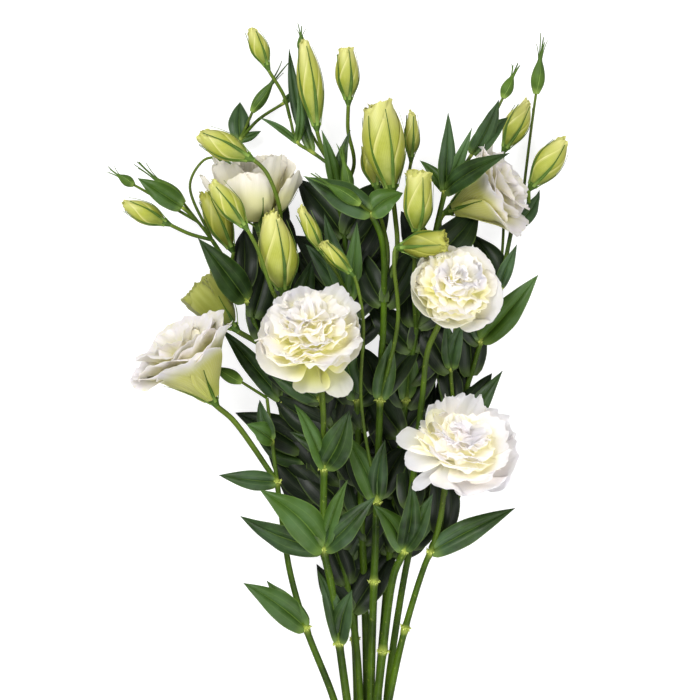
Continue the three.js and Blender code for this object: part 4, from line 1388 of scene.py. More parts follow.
@dataclass
class Calyx:
    """The cup under a flower, with a slim keeled sepal for each petal."""

    flower: Flower

    CUP_POINTS, CUP_SIDES = 12, 20
    ROWS, COLUMNS = 26, 7

    def stalk(self) -> list[Array]:
        """Follows the stalk up to the flower's foot.

        Returns:
            The places on its way.
        """
        axes = self.flower.axes()
        neck = axes.origin - axes.along * RECEPTACLE_LENGTH * MM
        return [*spots(self.flower.stalk), neck, (neck + axes.origin) / 2, axes.origin]

    def add_to(self, skin: Skin) -> None:
        """Builds the cup and the sepals.

        Args:
            skin: takes them.
        """
        axes = self.flower.axes()
        neck = self.flower.girth() / 2
        rim = self.flower.foot() + 0.35 * RECEPTACLE_RIM
        share = np.linspace(0, 1, self.CUP_POINTS)
        line = axes.origin + axes.along * ((share * 1.3 - 1.15) * RECEPTACLE_LENGTH * MM)[:, None]
        radii = neck + (rim - neck) * np.sin(QUARTER_TURN * share) ** 1.6
        skin.rod(line, radii * MM, self.CUP_SIDES, 0.2, ridge=0.06)
        for number in range(SEPALS):
            self.sepal(skin, axes, FULL_TURN * (number + 0.25) / SEPALS + 0.08 * skin.draw.normal())

    def sepal(self, skin: Skin, axes: Axes, turn: float) -> None:
        """Builds one sepal: a keeled strip that thins to a hair.

        Args:
            skin: takes it.
            axes: the flower's directions.
            turn: where it stands round the flower.
        """
        draw = skin.draw
        across, rise = grid(self.ROWS, self.COLUMNS)
        along = rise[:, 0]
        reach = 1 + 0.12 * draw.random()
        radius, height = self.flower.sepal_line(np.maximum(along * reach, 0.02))
        flare = (0.5 + 2.2 * draw.random()) * MM * ramp(along, 0.5, 0.5) ** 2
        settle = ramp(along, 0, 0.1)
        foot = (self.flower.foot() + 0.3) * MM
        radius = foot * (1 - settle) + (radius + flare) * settle
        height = height * settle - 1.2 * MM * (1 - settle)
        middle = axes.around(turn + 0.10 * draw.normal() * along ** 2, radius, height)
        width = (1 - rise) ** 0.8 * (0.75 + 0.5 * np.sin(math.pi * np.clip(rise * 1.6, 0, 1)))
        width = np.maximum(self.flower.sepal_width() * MM * width, 0.27 * MM)
        out = axes.outward(turn)
        keel = 0.3 * width * (1 - np.abs(across))
        sheet = middle[:, None] + (across * width)[..., None] * np.cross(axes.along, out)
        skin.sheet(sheet + keel[..., None] * out, 0.4 * MM * (1 - 0.6 * rise), rise, across, 0.35)


@dataclass
class ClosedBud:
    """A small bud still wrapped in its sepals, whose hair-fine tips stand apart above it."""

    plan: BudPlan

    BODY_POINTS, BODY_SIDES = 16, 15
    ROWS, COLUMNS = 24, 7

    def stalk(self) -> list[Array]:
        """Returns the places on the stalk's way."""
        axes = self.plan.axes()
        return [*spots(self.plan.stalk), axes.origin + axes.along * 1.5 * MM]

    def add_to(self, skin: Skin) -> None:
        """Builds the bud.

        Args:
            skin: takes it.
        """
        axes, length = self.plan.axes(), self.plan.length()
        full = self.plan.width / 2 * MM
        share = np.linspace(0, 1, self.BODY_POINTS)
        line = axes.origin + axes.along * (share * length)[:, None]
        skin.rod(line, full * self.plan.outline(share) * 0.86, self.BODY_SIDES, 0.9, ridge=0.09)
        across, along = grid(self.ROWS, self.COLUMNS)
        for number in range(SEPALS):
            turn = FULL_TURN * number / SEPALS + 0.1 * skin.draw.normal()
            reach = 1.45 + 0.35 * skin.draw.random()
            body = self.plan.outline(np.minimum(along * reach, 1)) * full
            flare = 2.4 * MM * ramp(along, 0.6, 0.4) ** 2 * (0.3 + skin.draw.random())
            radius = body * 0.95 + 0.25 * MM + flare
            half = math.pi / SEPALS * 1.05 * body * ramp(1 - along, 0, 0.5) ** 0.9 + 0.28 * MM
            angle = turn + 0.5 * along + across * half / radius
            radius = radius + 0.25 * MM * (1 - np.abs(across))
            sheet = axes.around(angle, radius, along * reach * length)
            skin.sheet(sheet, 0.3 * MM * (1 - 0.5 * along), along, across, 0.55)


class Weave(Wiring):
    """Adds and joins the nodes of one geometry tree, with named inputs."""

    def __init__(self, name: str, **inputs: str) -> None:
        """Starts the tree.

        Args:
            name: the tree's name.
            inputs: what it takes besides the geometry and the material, with its kind.
        """
        super().__init__(bpy.data.node_groups.new(name, "GeometryNodeTree"))
        face = self.tree.interface
        for label, kind in {"Geometry": "Geometry", **inputs, "Material": "Material"}.items():
            face.new_socket(label, in_out="INPUT", socket_type=f"NodeSocket{kind}")
        face.new_socket("Geometry", in_out="OUTPUT", socket_type="NodeSocketGeometry")
        self.given = self.tree.nodes.new("NodeGroupInput").outputs

    def mark(self, name: str, kind: str = "FLOAT") -> Socket:
        """Reads one of the mesh's own marks."""
        node = self.put("GeometryNodeInputNamedAttribute", {"Name": name}, data_type=kind)
        return node.outputs["Attribute"]

    def finish(self, geometry: Socket) -> Tree:
        """Ends the tree in plain geometry with its material.

        Args:
            geometry: what the tree has made.

        Returns:
            The tree.
        """
        for kind, values in (("RealizeInstances", {}), ("SetShadeSmooth", {}),
                             ("SetMaterial", {"Material": self.given["Material"]})):
            geometry = self.put(f"GeometryNode{kind}", {"Geometry": geometry, **values}).outputs[0]
        self.fill(self.tree.nodes.new("NodeGroupOutput"), {"Geometry": geometry})
        return self.tree


@cache
def rod_tree() -> Tree:
    """Sweeps a round section along lines.

    Returns:
        The geometry tree, made once.
    """
    weave = Weave("round_rods", Sides="Int")
    girth = weave.mark("girth")
    curve = weave.put("GeometryNodeMeshToCurve", {"Mesh": weave.given["Geometry"]}).outputs[0]
    sized = weave.put("GeometryNodeSetCurveRadius", {"Curve": curve, "Radius": girth}).outputs[0]
    ring = weave.put("GeometryNodeCurvePrimitiveCircle",
                     {"Resolution": weave.given["Sides"], "Radius": 1.0}).outputs[0]
    share = weave.put("GeometryNodeSplineParameter").outputs["Factor"]
    turn = weave.work_out("MULTIPLY_ADD", share, 2.0, -1.0)
    ring = weave.put("GeometryNodeStoreNamedAttribute",
                     {"Geometry": ring, "Name": "across", "Value": turn},
                     data_type="FLOAT", domain="POINT").outputs[0]
    inputs = {"Curve": sized, "Profile Curve": ring, "Scale": girth, "Fill Caps": True}
    return weave.finish(weave.put("GeometryNodeCurveToMesh", inputs).outputs[0])


@cache
def scale_tree() -> Tree:
    """Sets a ragged papery scale at each point.

    Returns:
        The geometry tree, made once.
    """
    weave = Weave("node_scales", Seed="Int", Length="Float")
    length = weave.given["Length"]
    cone = {"Vertices": 5, "Radius Top": 0.06, "Radius Bottom": 0.55, "Depth": 1.0}
    flake = weave.put("GeometryNodeMeshCone", cone).outputs[0]
    lean = {"Vector": weave.mark("lean", "FLOAT_VECTOR")}
    upright = weave.put("FunctionNodeAlignRotationToVector", lean, axis="Z").outputs[0]
    span = {2: 0.55, 3: 1.25, "Seed": weave.given["Seed"]}
    size = weave.put("FunctionNodeRandomValue", span, data_type="FLOAT").outputs[1]
    width = weave.times(length, 0.8)
    sizes = {0: width, 1: width, 2: weave.times(size, length)}
    scale = weave.put("ShaderNodeCombineXYZ", sizes).outputs[0]
    inputs = {"Points": weave.given["Geometry"], "Instance": flake, "Rotation": upright,
              "Scale": scale}
    return weave.finish(weave.put("GeometryNodeInstanceOnPoints", inputs).outputs[0])


def grown(name: str, tree: Tree, points: Array, edges: list[tuple[int, int]],
          marks: dict[str, Array], values: dict[str, object]) -> Piece:
    """Runs a geometry tree on points and edges, and keeps the plain result.

    Args:
        name: the piece's name.
        tree: the geometry tree.
        points: the points it starts from.
        edges: the edges between them.
        marks: values at each point, by name.
        values: the tree's inputs, by name.

    Returns:
        The new piece, with no modifier.
    """
    base = bpy.data.meshes.new(f"{name}_points")
    base.from_pydata(points.tolist(), edges, [])
    for mark, numbers in marks.items():
        keep_mark(base, mark, numbers)
    seed = placed(f"{name}_seed", base)
    modifier = seed.modifiers.new("growth", "NODES")
    modifier.node_group = tree
    for item in tree.interface.items_tree:
        if item.item_type == "SOCKET" and item.in_out == "INPUT" and item.name in values:
            modifier[item.identifier] = values[item.name]
    depsgraph = bpy.context.evaluated_depsgraph_get()
    mesh = bpy.data.meshes.new_from_object(seed.evaluated_get(depsgraph), depsgraph=depsgraph)
    mesh.name = name
    seed.modifiers.remove(modifier)
    bpy.data.objects.remove(seed)
    return placed(name, mesh)


@dataclass
class LeafyStem:
    """One stem with its shoots, stalks, leaves, cups and closed buds."""

    name: str
    plan: StemPlan
    flowers: list[Flower]
    closed: list[BudPlan]
    seed: int
    step: float = 2.5 * MM
    sides: int = 14
    swelling: float = 0.3  # how much thicker the stem is at a node

    def main_line(self) -> list[Array]:
        """Follows the stem from its cut end.

        Returns:
            The places on its way.
        """
        across, up = self.plan.slot
        held = spot(TIE_PLACE) + np.array([across * STEM_SPACING, 0, up * STEM_ROW_SPACING]) * MM
        stagger = CUT_STAGGER * math.sin(5 * across + 3 * up)
        cut = held - np.array([0, (CUT_LENGTH + stagger) * MM, 0])
        reach = np.array([0, TIE_WIDTH * MM, 0])
        return [cut, held - reach, held + reach, *spots(self.plan.route)]

    def nodes(self) -> Array:
        """Finds where leaves leave the stem.

        Returns:
            The points, one row each.
        """
        places = [leaf.base for leaf in self.plan.leaves]
        places += [self.plan.route[number] for number in self.plan.rings]
        return np.unique(np.round(spots(places), 6), axis=0)

    def rod(self, places: list[Array], foot: float, top: float, pale: float) -> Rod:
        """Works out a stem that swells and turns pale at its nodes.

        Args:
            places: the points that it passes through.
            foot: its thickness at its foot, mm.
            top: its thickness at its top, mm.
            pale: how pale it is at its top.

        Returns:
            Its points, with the radius and paleness at each.
        """
        line = smooth_line(places, self.step)
        radii = np.linspace(foot, top, len(line)) * MM / 2
        near = np.zeros(len(line))
        for node in self.nodes():
            apart = np.linalg.norm(line - node, axis=1)
            radii = radii * (1 + self.swelling * np.exp(-(apart / (2.6 * MM)) ** 2))
            near = np.maximum(near, 0.85 * np.exp(-(apart / (1.8 * MM)) ** 2))
        return line, radii, np.maximum(near, pale * np.linspace(0, 1, len(line)))

    def rods(self) -> list[Rod]:
        """Works out stem, shoots and stalks.

        Returns:
            Their lines, radii and paleness.
        """
        rods = [self.rod(self.main_line(), *self.plan.girth, 0.0)]
        for shoot in self.plan.shoots:
            rods.append(self.rod(spots(shoot.route), shoot.girth, 0.8 * shoot.girth, 0.1))
        for flower in self.flowers:
            rods.append(self.rod(Calyx(flower).stalk(), flower.girth(), flower.girth(), 0.15))
        for plan in self.closed:
            rods.append(self.rod(ClosedBud(plan).stalk(), plan.girth(), 0.85 * plan.girth(), 0.15))
        return rods

    def seated(self, piece: Piece) -> Piece:
        """Seats one of the stem's pieces in the frame and returns it."""
        return finished(piece, "stem_and_leaf", f"leafy_stem_{self.name}")

    def build_stem(self) -> Piece:
        """Sweeps the stem, its shoots and stalks.

        Returns:
            The piece.
        """
        rods = self.rods()
        points, girths, pales = (np.concatenate(part) for part in zip(*rods))
        starts = {0, *np.cumsum([len(line) for line, _, _ in rods]).tolist()}
        edges = [(end - 1, end) for end in range(len(points)) if end not in starts]
        values = {"Sides": self.sides, "Material": STEM.material()}
        marks = {"girth": girths, "tint": pales}
        return self.seated(grown(f"stem_{self.name}", rod_tree(), points, edges, marks, values))

    def build_scales(self) -> Piece:
        """Sets the ragged rings of papery scales at the nodes.

        Returns:
            The piece.
        """
        draw = np.random.default_rng(self.seed + SCALE_SEED)
        count = SCALES_AT_NODE
        line, radii, _ = self.rod(self.main_line(), *self.plan.girth, 0.0)
        places, leans = [], []
        for node in self.nodes():
            apart = np.linalg.norm(line - node, axis=1)
            nearest = int(np.argmin(apart))
            if apart[nearest] > 4 * MM:
                continue
            way = line[min(nearest + 1, len(line) - 1)] - line[max(nearest - 1, 0)]
            axes = Axes.at(line[nearest], way)
            turns = np.linspace(0, FULL_TURN, count, endpoint=False) + draw.uniform(0, 0.3, count)
            out = axes.outward(turns)
            rise = draw.uniform(-0.5, 0.5, count)[:, None] * MM
            places.append(axes.origin + out * radii[nearest] * 0.98 + axes.along * rise)
            leans.append(unit(out * 0.55 - axes.along * draw.uniform(-0.6, 1.2, count)[:, None]))
        values = {"Seed": self.seed, "Length": 1.6 * MM, "Material": SCALE.material()}
        return self.seated(grown(f"node_scales_{self.name}", scale_tree(), np.concatenate(places),
                                 [], {"lean": np.concatenate(leans)}, values))

    def build_leaves(self) -> Piece:
        """Builds the stem's leaves, and lesser ones between them.

        Returns:
            The piece.
        """
        skin = Skin(self.seed)
        for leaf in self.plan.leaves:
            root = spot(leaf.base)
            young = 0.8 if leaf.width < SMALL_LEAF else 0.15 + 0.75 * skin.draw.random()
            run = spot(leaf.tip) - root
            Blade(root, run, leaf.width * MM, leaf.roll, leaf.arch, young).add_to(skin)
        low = self.plan.route[0][2] < LOW_STEM
        line = smooth_line(self.main_line(), self.step)
        self.leaf_pairs(skin, line, self.plan.bare + (0 if low else 24), 17 if low else 52)
        for shoot in self.plan.shoots:
            line = smooth_line(spots(shoot.route), self.step)
            if len(line) * self.step > LONG_SHOOT * MM:
                self.leaf_pairs(skin, line, 8, 20)
        return self.seated(skin.piece(f"leaves_{self.name}", LEAF_FRONT, LEAF_BACK))

    def leaf_pairs(self, skin: Skin, line: Array, start: float, apart: float) -> None:
        """Adds pairs of lesser leaves along a line, low in the bunch, painted near-black as shade.

        Args:
            skin: takes the leaves.
            line: the stem's or shoot's points.
            start: distance of the first pair from the line's foot, mm.
            apart: distance between pairs, mm.
        """
        draw = skin.draw
        place = (start + draw.uniform(0, 0.5 * apart)) * MM
        while place < (len(line) - 1) * self.step - 30 * MM:
            number = int(place / self.step)
            place += apart * MM * draw.uniform(0.85, 1.2)
            point = line[number]
            way = unit(line[number + 1] - line[number - 1])
            quarter = draw.uniform(0, math.pi)
            for half_turn in (0, math.pi):
                out = Axes.at(point, way).outward(quarter + half_turn)
                out[2] = 0.3 * out[2] - 0.3
                length = draw.uniform(36, 52) * MM
                lean = draw.uniform(0.45, 0.8)
                run = unit(way * math.cos(lean) + unit(out) * math.sin(lean)) * length
                top = (point + run)[2]
                run[2] = np.clip(top, 3 * MM, 3 * MM + 0.45 * point[2]) - point[2]
                tip = (point + run) / MM
                right = LESSER_RIGHT * (1 if tip[1] > NARROW_BELOW else 0.72)
                if not LESSER_LEFT < tip[0] < right:
                    continue
                width = length * draw.uniform(0.34, 0.46)
                roll = draw.uniform(-30, 30)
                # a low tint paints these lesser leaves near-black: painted shade deep in the bunch
                tint = 0.07 * draw.random()
                Blade(point, run, width, roll, LEAF_ARCH, tint, 9, 18).add_to(skin)

    def build_cups(self) -> Piece:
        """Builds the cups, sepals, closed buds and the cut end.

        Returns:
            The piece.
        """
        skin = Skin(self.seed + CUP_SEED)
        for flower in self.flowers:
            Calyx(flower).add_to(skin)
        for plan in self.closed:
            ClosedBud(plan).add_to(skin)
        radius = self.plan.girth[0] / 2 * MM * 0.96
        line = self.main_line()[0] + np.outer([0.2, 0, -0.2], [0, MM, 0])
        skin.rod(line, np.array([radius, radius, radius * 0.93]), self.sides, 0.5, 1)
        return self.seated(skin.piece(f"sepals_{self.name}", SEPAL, CUT))

    def build(self) -> list[Piece]:
        """Builds the whole stem and returns its pieces."""
        return [self.build_stem(), self.build_leaves(), self.build_cups(), self.build_scales()]


@dataclass
class Tie:
    """Flat raffia wound round the stems, with a small knot and two short ends."""

    turns: int = 9
    layers: int = 2
    strand_width: float = 2.4 * MM
    strand_thickness: float = 0.7 * MM
    seed: int = 71

    TURN_POINTS, KNOT_POINTS = 120, 40
    UP = np.array([0.0, 0.0, 1.0])

    def outline(self, share: Array, radius: float) -> Array:
        """Follows the tight band once round the stems.

        Args:
            share: how far round.
            radius: distance of the band from the middles of the outer stems.

        Returns:
            Points across the bunch, in metres.
        """
        points = []
        for number, corner in enumerate(((1.5, 0), (1, 1), (-1, 1), (-1.5, 0), (-1, -1), (1, -1))):
            turn = np.linspace(number - 0.5, number + 0.5, 7)[:, None] * math.pi / 3
            stem = np.array(corner) * (STEM_SPACING * MM, STEM_ROW_SPACING * MM)
            points.append(stem + radius * np.hstack([np.cos(turn), np.sin(turn)]))
        ring = np.vstack([*points, points[0][0]])
        runs = np.append(0, np.cumsum(np.linalg.norm(np.diff(ring, axis=0), axis=1)))
        return np.stack([np.interp(share % 1 * runs[-1], runs, ring[:, k]) for k in (0, 1)], -1)

    def strand(self, skin: Skin, line: Array, out: Array, width: float,
               tint: float) -> None:
        """Adds one flat strand.

        Args:
            skin: takes it.
            line: its middle line.
            out: the way its flat face looks at each point.
            width: its share of a whole strand's width.
            tint: its shade.
        """
        across, along = grid(len(line), 5)
        side = unit(np.cross(np.gradient(line, axis=0), out))
        sag = 0.12 * self.strand_thickness * across ** 2
        sheet = line[:, None] + (across * width * self.strand_width / 2)[..., None] * side[:, None]
        sheet = sheet - sag[..., None] * out[:, None]
        skin.sheet(sheet, self.strand_thickness * (1 - 0.35 * across ** 2), along, across, tint)

    def build(self) -> Piece:
        """Makes the windings and the knot.

        Returns:
            The piece.
        """
        skin = Skin(self.seed)
        draw = skin.draw
        held = spot(TIE_PLACE)
        share = np.linspace(0, 1.0, self.TURN_POINTS) + 0.25
        pitch = (TIE_WIDTH - 1.6) / self.turns * MM
        for layer in range(self.layers):
            flat = self.outline(share, (TIE_INSIDE + 0.55 + 0.85 * layer) * MM)
            way = unit(np.gradient(flat, axis=0))
            away = np.stack([way[:, 1], 0 * share, -way[:, 0]], -1)
            for turn in range(self.turns - layer):
                slide = (turn + 0.5 * layer - (self.turns - 1) / 2) * pitch
                slide = slide + 0.35 * MM * np.sin(FULL_TURN * share + draw.uniform(0, 6.28))
                slide = slide + draw.normal() * 0.15 * MM
                line = held + np.stack([flat[:, 0], slide, flat[:, 1]], -1)
                self.strand(skin, line, away, draw.uniform(0.75, 1.05), draw.random())
        self.knot(skin, held + self.UP * (STEM_ROW_SPACING + TIE_INSIDE + TIE_THICKNESS) * MM)
        return finished(skin.piece("raffia_windings", RAFFIA), "tie", "tie")

    def knot(self, skin: Skin, top: Array) -> None:
        """Adds the knot on top of the windings, and its two ends.

        Args:
            skin: takes it.
            top: where it sits.
        """
        share = np.linspace(0, 1, self.KNOT_POINTS)
        up = np.tile(self.UP, (self.KNOT_POINTS, 1))
        for lean in (-0.5, 0.6):
            turn = FULL_TURN * share + lean
            loop = np.stack([3.0 * np.cos(turn), 2.2 * np.sin(turn) + lean,
                             0.8 * np.sin(2 * turn + lean) + 0.4], -1)
            self.strand(skin, top + loop * MM, unit(up + 0.4 * loop), 1.0, 0.5)
        for sign in (-1, 1):
            reach = np.array([sign * 16.0, -11.0 - 3 * sign, -0.5]) * MM
            bend = np.array([sign * 6.0, 1.5, 3.2]) * MM
            line = top + np.outer(2 * share * (1 - share), bend) + np.outer(share ** 2, reach)
            line[:, 2] += 0.5 * MM * np.sin(7 * share + skin.draw.uniform(0, 6))
            self.strand(skin, line, up, 0.85, 0.3 + 0.4 * skin.draw.random())


# ---------------------------------------------------------------- the studio


@dataclass(frozen=True)
class Lamp:
    """A soft square lamp: its place, its size in metres and its power in watts."""

    name: str
    place: tuple[float, float, float]
    size: float
    power: float


@dataclass
class Studio:
    """The pale table, the soft lamps and the camera straight above."""

    lamps: tuple[Lamp, ...] = (
        Lamp("window", (-0.75, 0.85, 1.35), 0.8, 27.0),
        Lamp("fill", (0.95, 0.1, 1.2), 1.1, 12.0),
        Lamp("foot", (0.1, -0.95, 1.1), 1.0, 11.0),
    )
    aim: tuple[float, float, float] = (0.0, 0.05, 0.04)  # where the lamps look
    sky: float = 0.3
    glow: float = 0.8  # how much the table itself shines towards the eye, as a light table does
    table_size: float = 3.0
    sensor: float = 36.0

    def build(self) -> None:
        """Sets up the table, the light and the camera."""
        scene = bpy.context.scene
        self.table()
        for lamp in self.lamps:
            light = bpy.data.lights.new(lamp.name, "AREA")
            light.size = lamp.size
            light.energy = lamp.power
            holder = placed(lamp.name, light)
            holder.location = lamp.place
            aim = Vector(self.aim) - Vector(lamp.place)
            holder.rotation_euler = aim.to_track_quat("-Z", "Y").to_euler()
        world = bpy.data.worlds.new("room")
        world.use_nodes = True
        sky = world.node_tree.nodes["Background"]
        Wiring(world.node_tree).fill(sky, {"Strength": self.sky, "Color": (1, 1, 1, 1)})
        scene.world = world
        scene.view_settings.view_transform = "Standard"
        scene.cycles.diffuse_bounces = 8
        self.camera()

    def table(self) -> None:
        """Lays the pale table under the bunch."""
        half = self.table_size / 2
        mesh = bpy.data.meshes.new("table")
        corners = [(-half, -half, 0), (half, -half, 0), (half, half, 0), (-half, half, 0)]
        mesh.from_pydata(corners, [], [(0, 1, 2, 3)])
        material = TABLE.material()
        wiring = Wiring(material.node_tree)
        seen = wiring.put("ShaderNodeLightPath").outputs["Is Camera Ray"]
        shine = {"Emission Color": (1, 1, 1, 1), "Emission Strength": wiring.times(seen, self.glow)}
        wiring.fill(material.node_tree.nodes["Principled BSDF"], shine)
        mesh.materials.append(material)
        table = placed("table", mesh)

    def camera(self) -> None:
        """Hangs the camera over the middle of the view."""
        lens = bpy.data.cameras.new("view_from_above")
        lens.sensor_width = self.sensor
        lens.lens = self.sensor * (VIEW_HEIGHT - SHARP_HEIGHT) / (VIEW_PIXELS * MM_PER_PIXEL)
        lens.clip_start = 0.01
        camera = placed("view_from_above", lens)
        camera.location = Vector((*(MIDDLE_SHIFT[:2] * MM), VIEW_HEIGHT * MM))
        bpy.context.scene.camera = camera


# ---------------------------------------------------------------- what the bunch is made of


def sprays(*nodes: tuple[tuple[float, ...], ...]) -> tuple[LeafPlan, ...]:
    """Lists leaves; a node gives its place, then each tip, width and roll, and perhaps arch."""
    return tuple(LeafPlan(base, tip[:3], *tip[3:]) for base, *tips in nodes for tip in tips)


STEMS: dict[str, StemPlan] = {
    "left_front": StemPlan((-1.5, 0), (5.6, 3.2), ((334, 700, 18), (306, 628, 26), (290, 572, 31),
        (282, 520, 35), (277, 482, 38)),
        sprays(((306, 628, 26), (244, 583, 34, 16, 15), (266, 581, 22, 12, -20)),
               ((277, 482, 38), (219, 475, 42, 11, 10)),
               ((272, 440, 34), (247, 424, 44, 13, 35), (259, 400, 30, 10, -30))),
        (Shoot(2.6, ((277, 482, 38), (272, 440, 34), (267, 398, 34))),)),
    "front_middle": StemPlan((-1, 1), (5.8, 4.2), ((347, 700, 24), (339, 642, 31), (331, 584, 38),
        (324, 549, 43), (324, 468, 52)),
        sprays(((324, 549, 43), (261, 490, 54, 20, 12, 0.1), (240, 517, 44, 16, -22),
                (347, 480, 52, 10, -25), (374, 497, 56, 15, -20)),
               ((324, 468, 52), (296, 404, 62, 12, 40), (349, 410, 62, 18, -15)),
               ((339, 642, 31), (318, 570, 38, 11, 20), (352, 590, 42, 14, -30)))),
    "left_back": StemPlan((-0.5, 0), (5.4, 2.6), ((360, 700, 15), (356, 644, 17), (348, 590, 17),
        (332, 530, 16), (308, 460, 15), (282, 400, 15), (262, 345, 14), (246, 300, 22), (230, 268, 26),
        (212, 240, 28)),
        sprays(((246, 300, 22), (199, 239, 52, 17, 10)), ((282, 400, 15), (222, 328, 12, 12, 15)),
               ((182, 207, 32), (138, 178, 36, 12, 10)), ((308, 460, 15), (258, 440, 8, 14, 10))),
        (Shoot(2.2, ((212, 240, 28), (198, 222, 30), (182, 207, 32))),),
        bare=168),
    "upper_left": StemPlan((-1, -1), (5.4, 3), ((357, 700, 7), (355, 640, 8), (353, 580, 10),
        (350, 520, 16), (340, 460, 22), (320, 400, 27), (302, 350, 31), (291, 318, 34)),
        sprays(((240, 140, 10), (240, 102, 1, 12, 0)), ((284, 103, 20), (296, 92, 13, 4, 0)),
               ((240, 140, 10), (261, 131, 8, 5, 10)), ((340, 460, 22), (290, 432, 22, 12, 20)),
               ((320, 400, 27), (268, 372, 26, 13, 10)), ((291, 318, 34), (313, 258, 30, 12, 10))),
        (Shoot(2.2, ((302, 350, 31), (284, 300, 14), (262, 240, 6), (246, 180, 6), (240, 140, 10))),
         Shoot(2.2, ((240, 140, 10), (258, 120, 14), (284, 103, 20)))),
        rings=(1,), bare=174),
    "centre_right": StemPlan((0, 1), (6, 3.8), ((377, 700, 24), (383, 650, 29), (394, 574, 37),
        (404, 550, 40), (413, 480, 44), (422, 400, 46)),
        sprays(((404, 550, 40), (374, 505, 42, 14, 20), (412, 482, 60, 12, 10),
                (432, 494, 54, 12, -20))),
        rings=(1,)),
    "right_front": StemPlan((1, 1), (5.8, 3.6), ((389, 700, 25), (405, 629, 33), (426, 562, 42),
        (431, 552, 43)),
        sprays(((431, 552, 43), (515, 508, 50, 14, -15)),
               ((451, 368, 32), (446, 322, 36, 10, 15), (463, 322, 38, 10, -15)),
               ((457, 440, 26), (502, 371, 36, 12, -10))),
        (Shoot(2.6, ((431, 552, 43), (444, 530, 38), (456, 497, 30), (457, 440, 26),
               (451, 368, 32), (456, 320, 28))),),
        rings=(1,)),
    "right_back": StemPlan((1.5, 0), (5.4, 2.6), ((388, 688, 14), (392, 655, 15), (402, 590, 16),
        (412, 540, 16), (432, 470, 16), (452, 420, 16), (467, 386, 17), (481, 341, 19), (499, 288, 21),
        (512, 228, 22)),
        sprays(((481, 341, 19), (538, 275, 30, 16, -12), (466, 300, 14, 12, 10)),
               ((499, 288, 21), (517, 245, 30, 8, 10)), ((512, 228, 22), (541, 190, 1, 10, 30)),
               ((452, 420, 16), (430, 350, 18, 14, 20)), ((412, 540, 16), (442, 490, 22, 14, -15))),
        (Shoot(2, ((499, 288, 21), (503, 240, 12), (504, 190, 9))),)),
    "centre_top": StemPlan((0.5, 0), (5.6, 3.6), ((371, 690, 18), (374, 581, 29), (377, 500, 37),
        (380, 400, 43), (384, 300, 49), (382, 240, 53), (371, 213, 56)),
        sprays(((371, 213, 56), (305, 177, 62, 17, 20), (403, 193, 58, 17, -30)),
               ((380, 400, 43), (392, 340, 50, 12, 10)),
               ((377, 500, 37), (343, 432, 44, 14, 10), (385, 440, 46, 11, 0))),
        rings=(1,)),
    "back_top": StemPlan((0, -1), (5.6, 3), ((367, 700, 7), (366, 640, 9), (364, 580, 13),
        (361, 500, 20), (356, 400, 26), (350, 300, 31), (345, 240, 34), (338, 200, 35), (330, 165, 35)),
        sprays(((297, 142, 30), (298, 86, 34, 5, 20), (259, 117, 32, 4, 10)),
               ((312, 152, 32), (289, 48, 10, 8, 0, 0)),
               ((338, 200, 35), (322, 130, 46, 8, 15), (350, 130, 42, 8, -15)),
               ((350, 300, 31), (325, 214, 42, 12, 15), (306, 244, 36, 13, 10),
                (357, 222, 44, 10, -10)),
               ((356, 400, 26), (336, 330, 34, 14, 15))),
        (Shoot(2.2, ((330, 165, 35), (312, 152, 32), (297, 142, 30), (290, 118, 28))),)),
    "right_top": StemPlan((1, -1), (5.4, 3.2), ((378, 700, 7), (384, 620, 8), (391, 540, 11),
        (398, 470, 20), (406, 400, 27), (416, 330, 33), (428, 270, 38), (436, 229, 42), (445, 191, 46)),
        sprays(((445, 191, 46), (509, 153, 86, 13, -20), (449, 113, 58, 10, 20),
                (472, 128, 56, 7, 0), (420, 160, 40, 7, 10)),
               ((472, 154, 44), (499, 100, 50, 12, 30), (508, 117, 38, 12, -20)),
               ((406, 400, 27), (396, 330, 30, 12, 10))),
        (Shoot(2.2, ((445, 191, 46), (472, 154, 44), (490, 124, 42))),)),
}

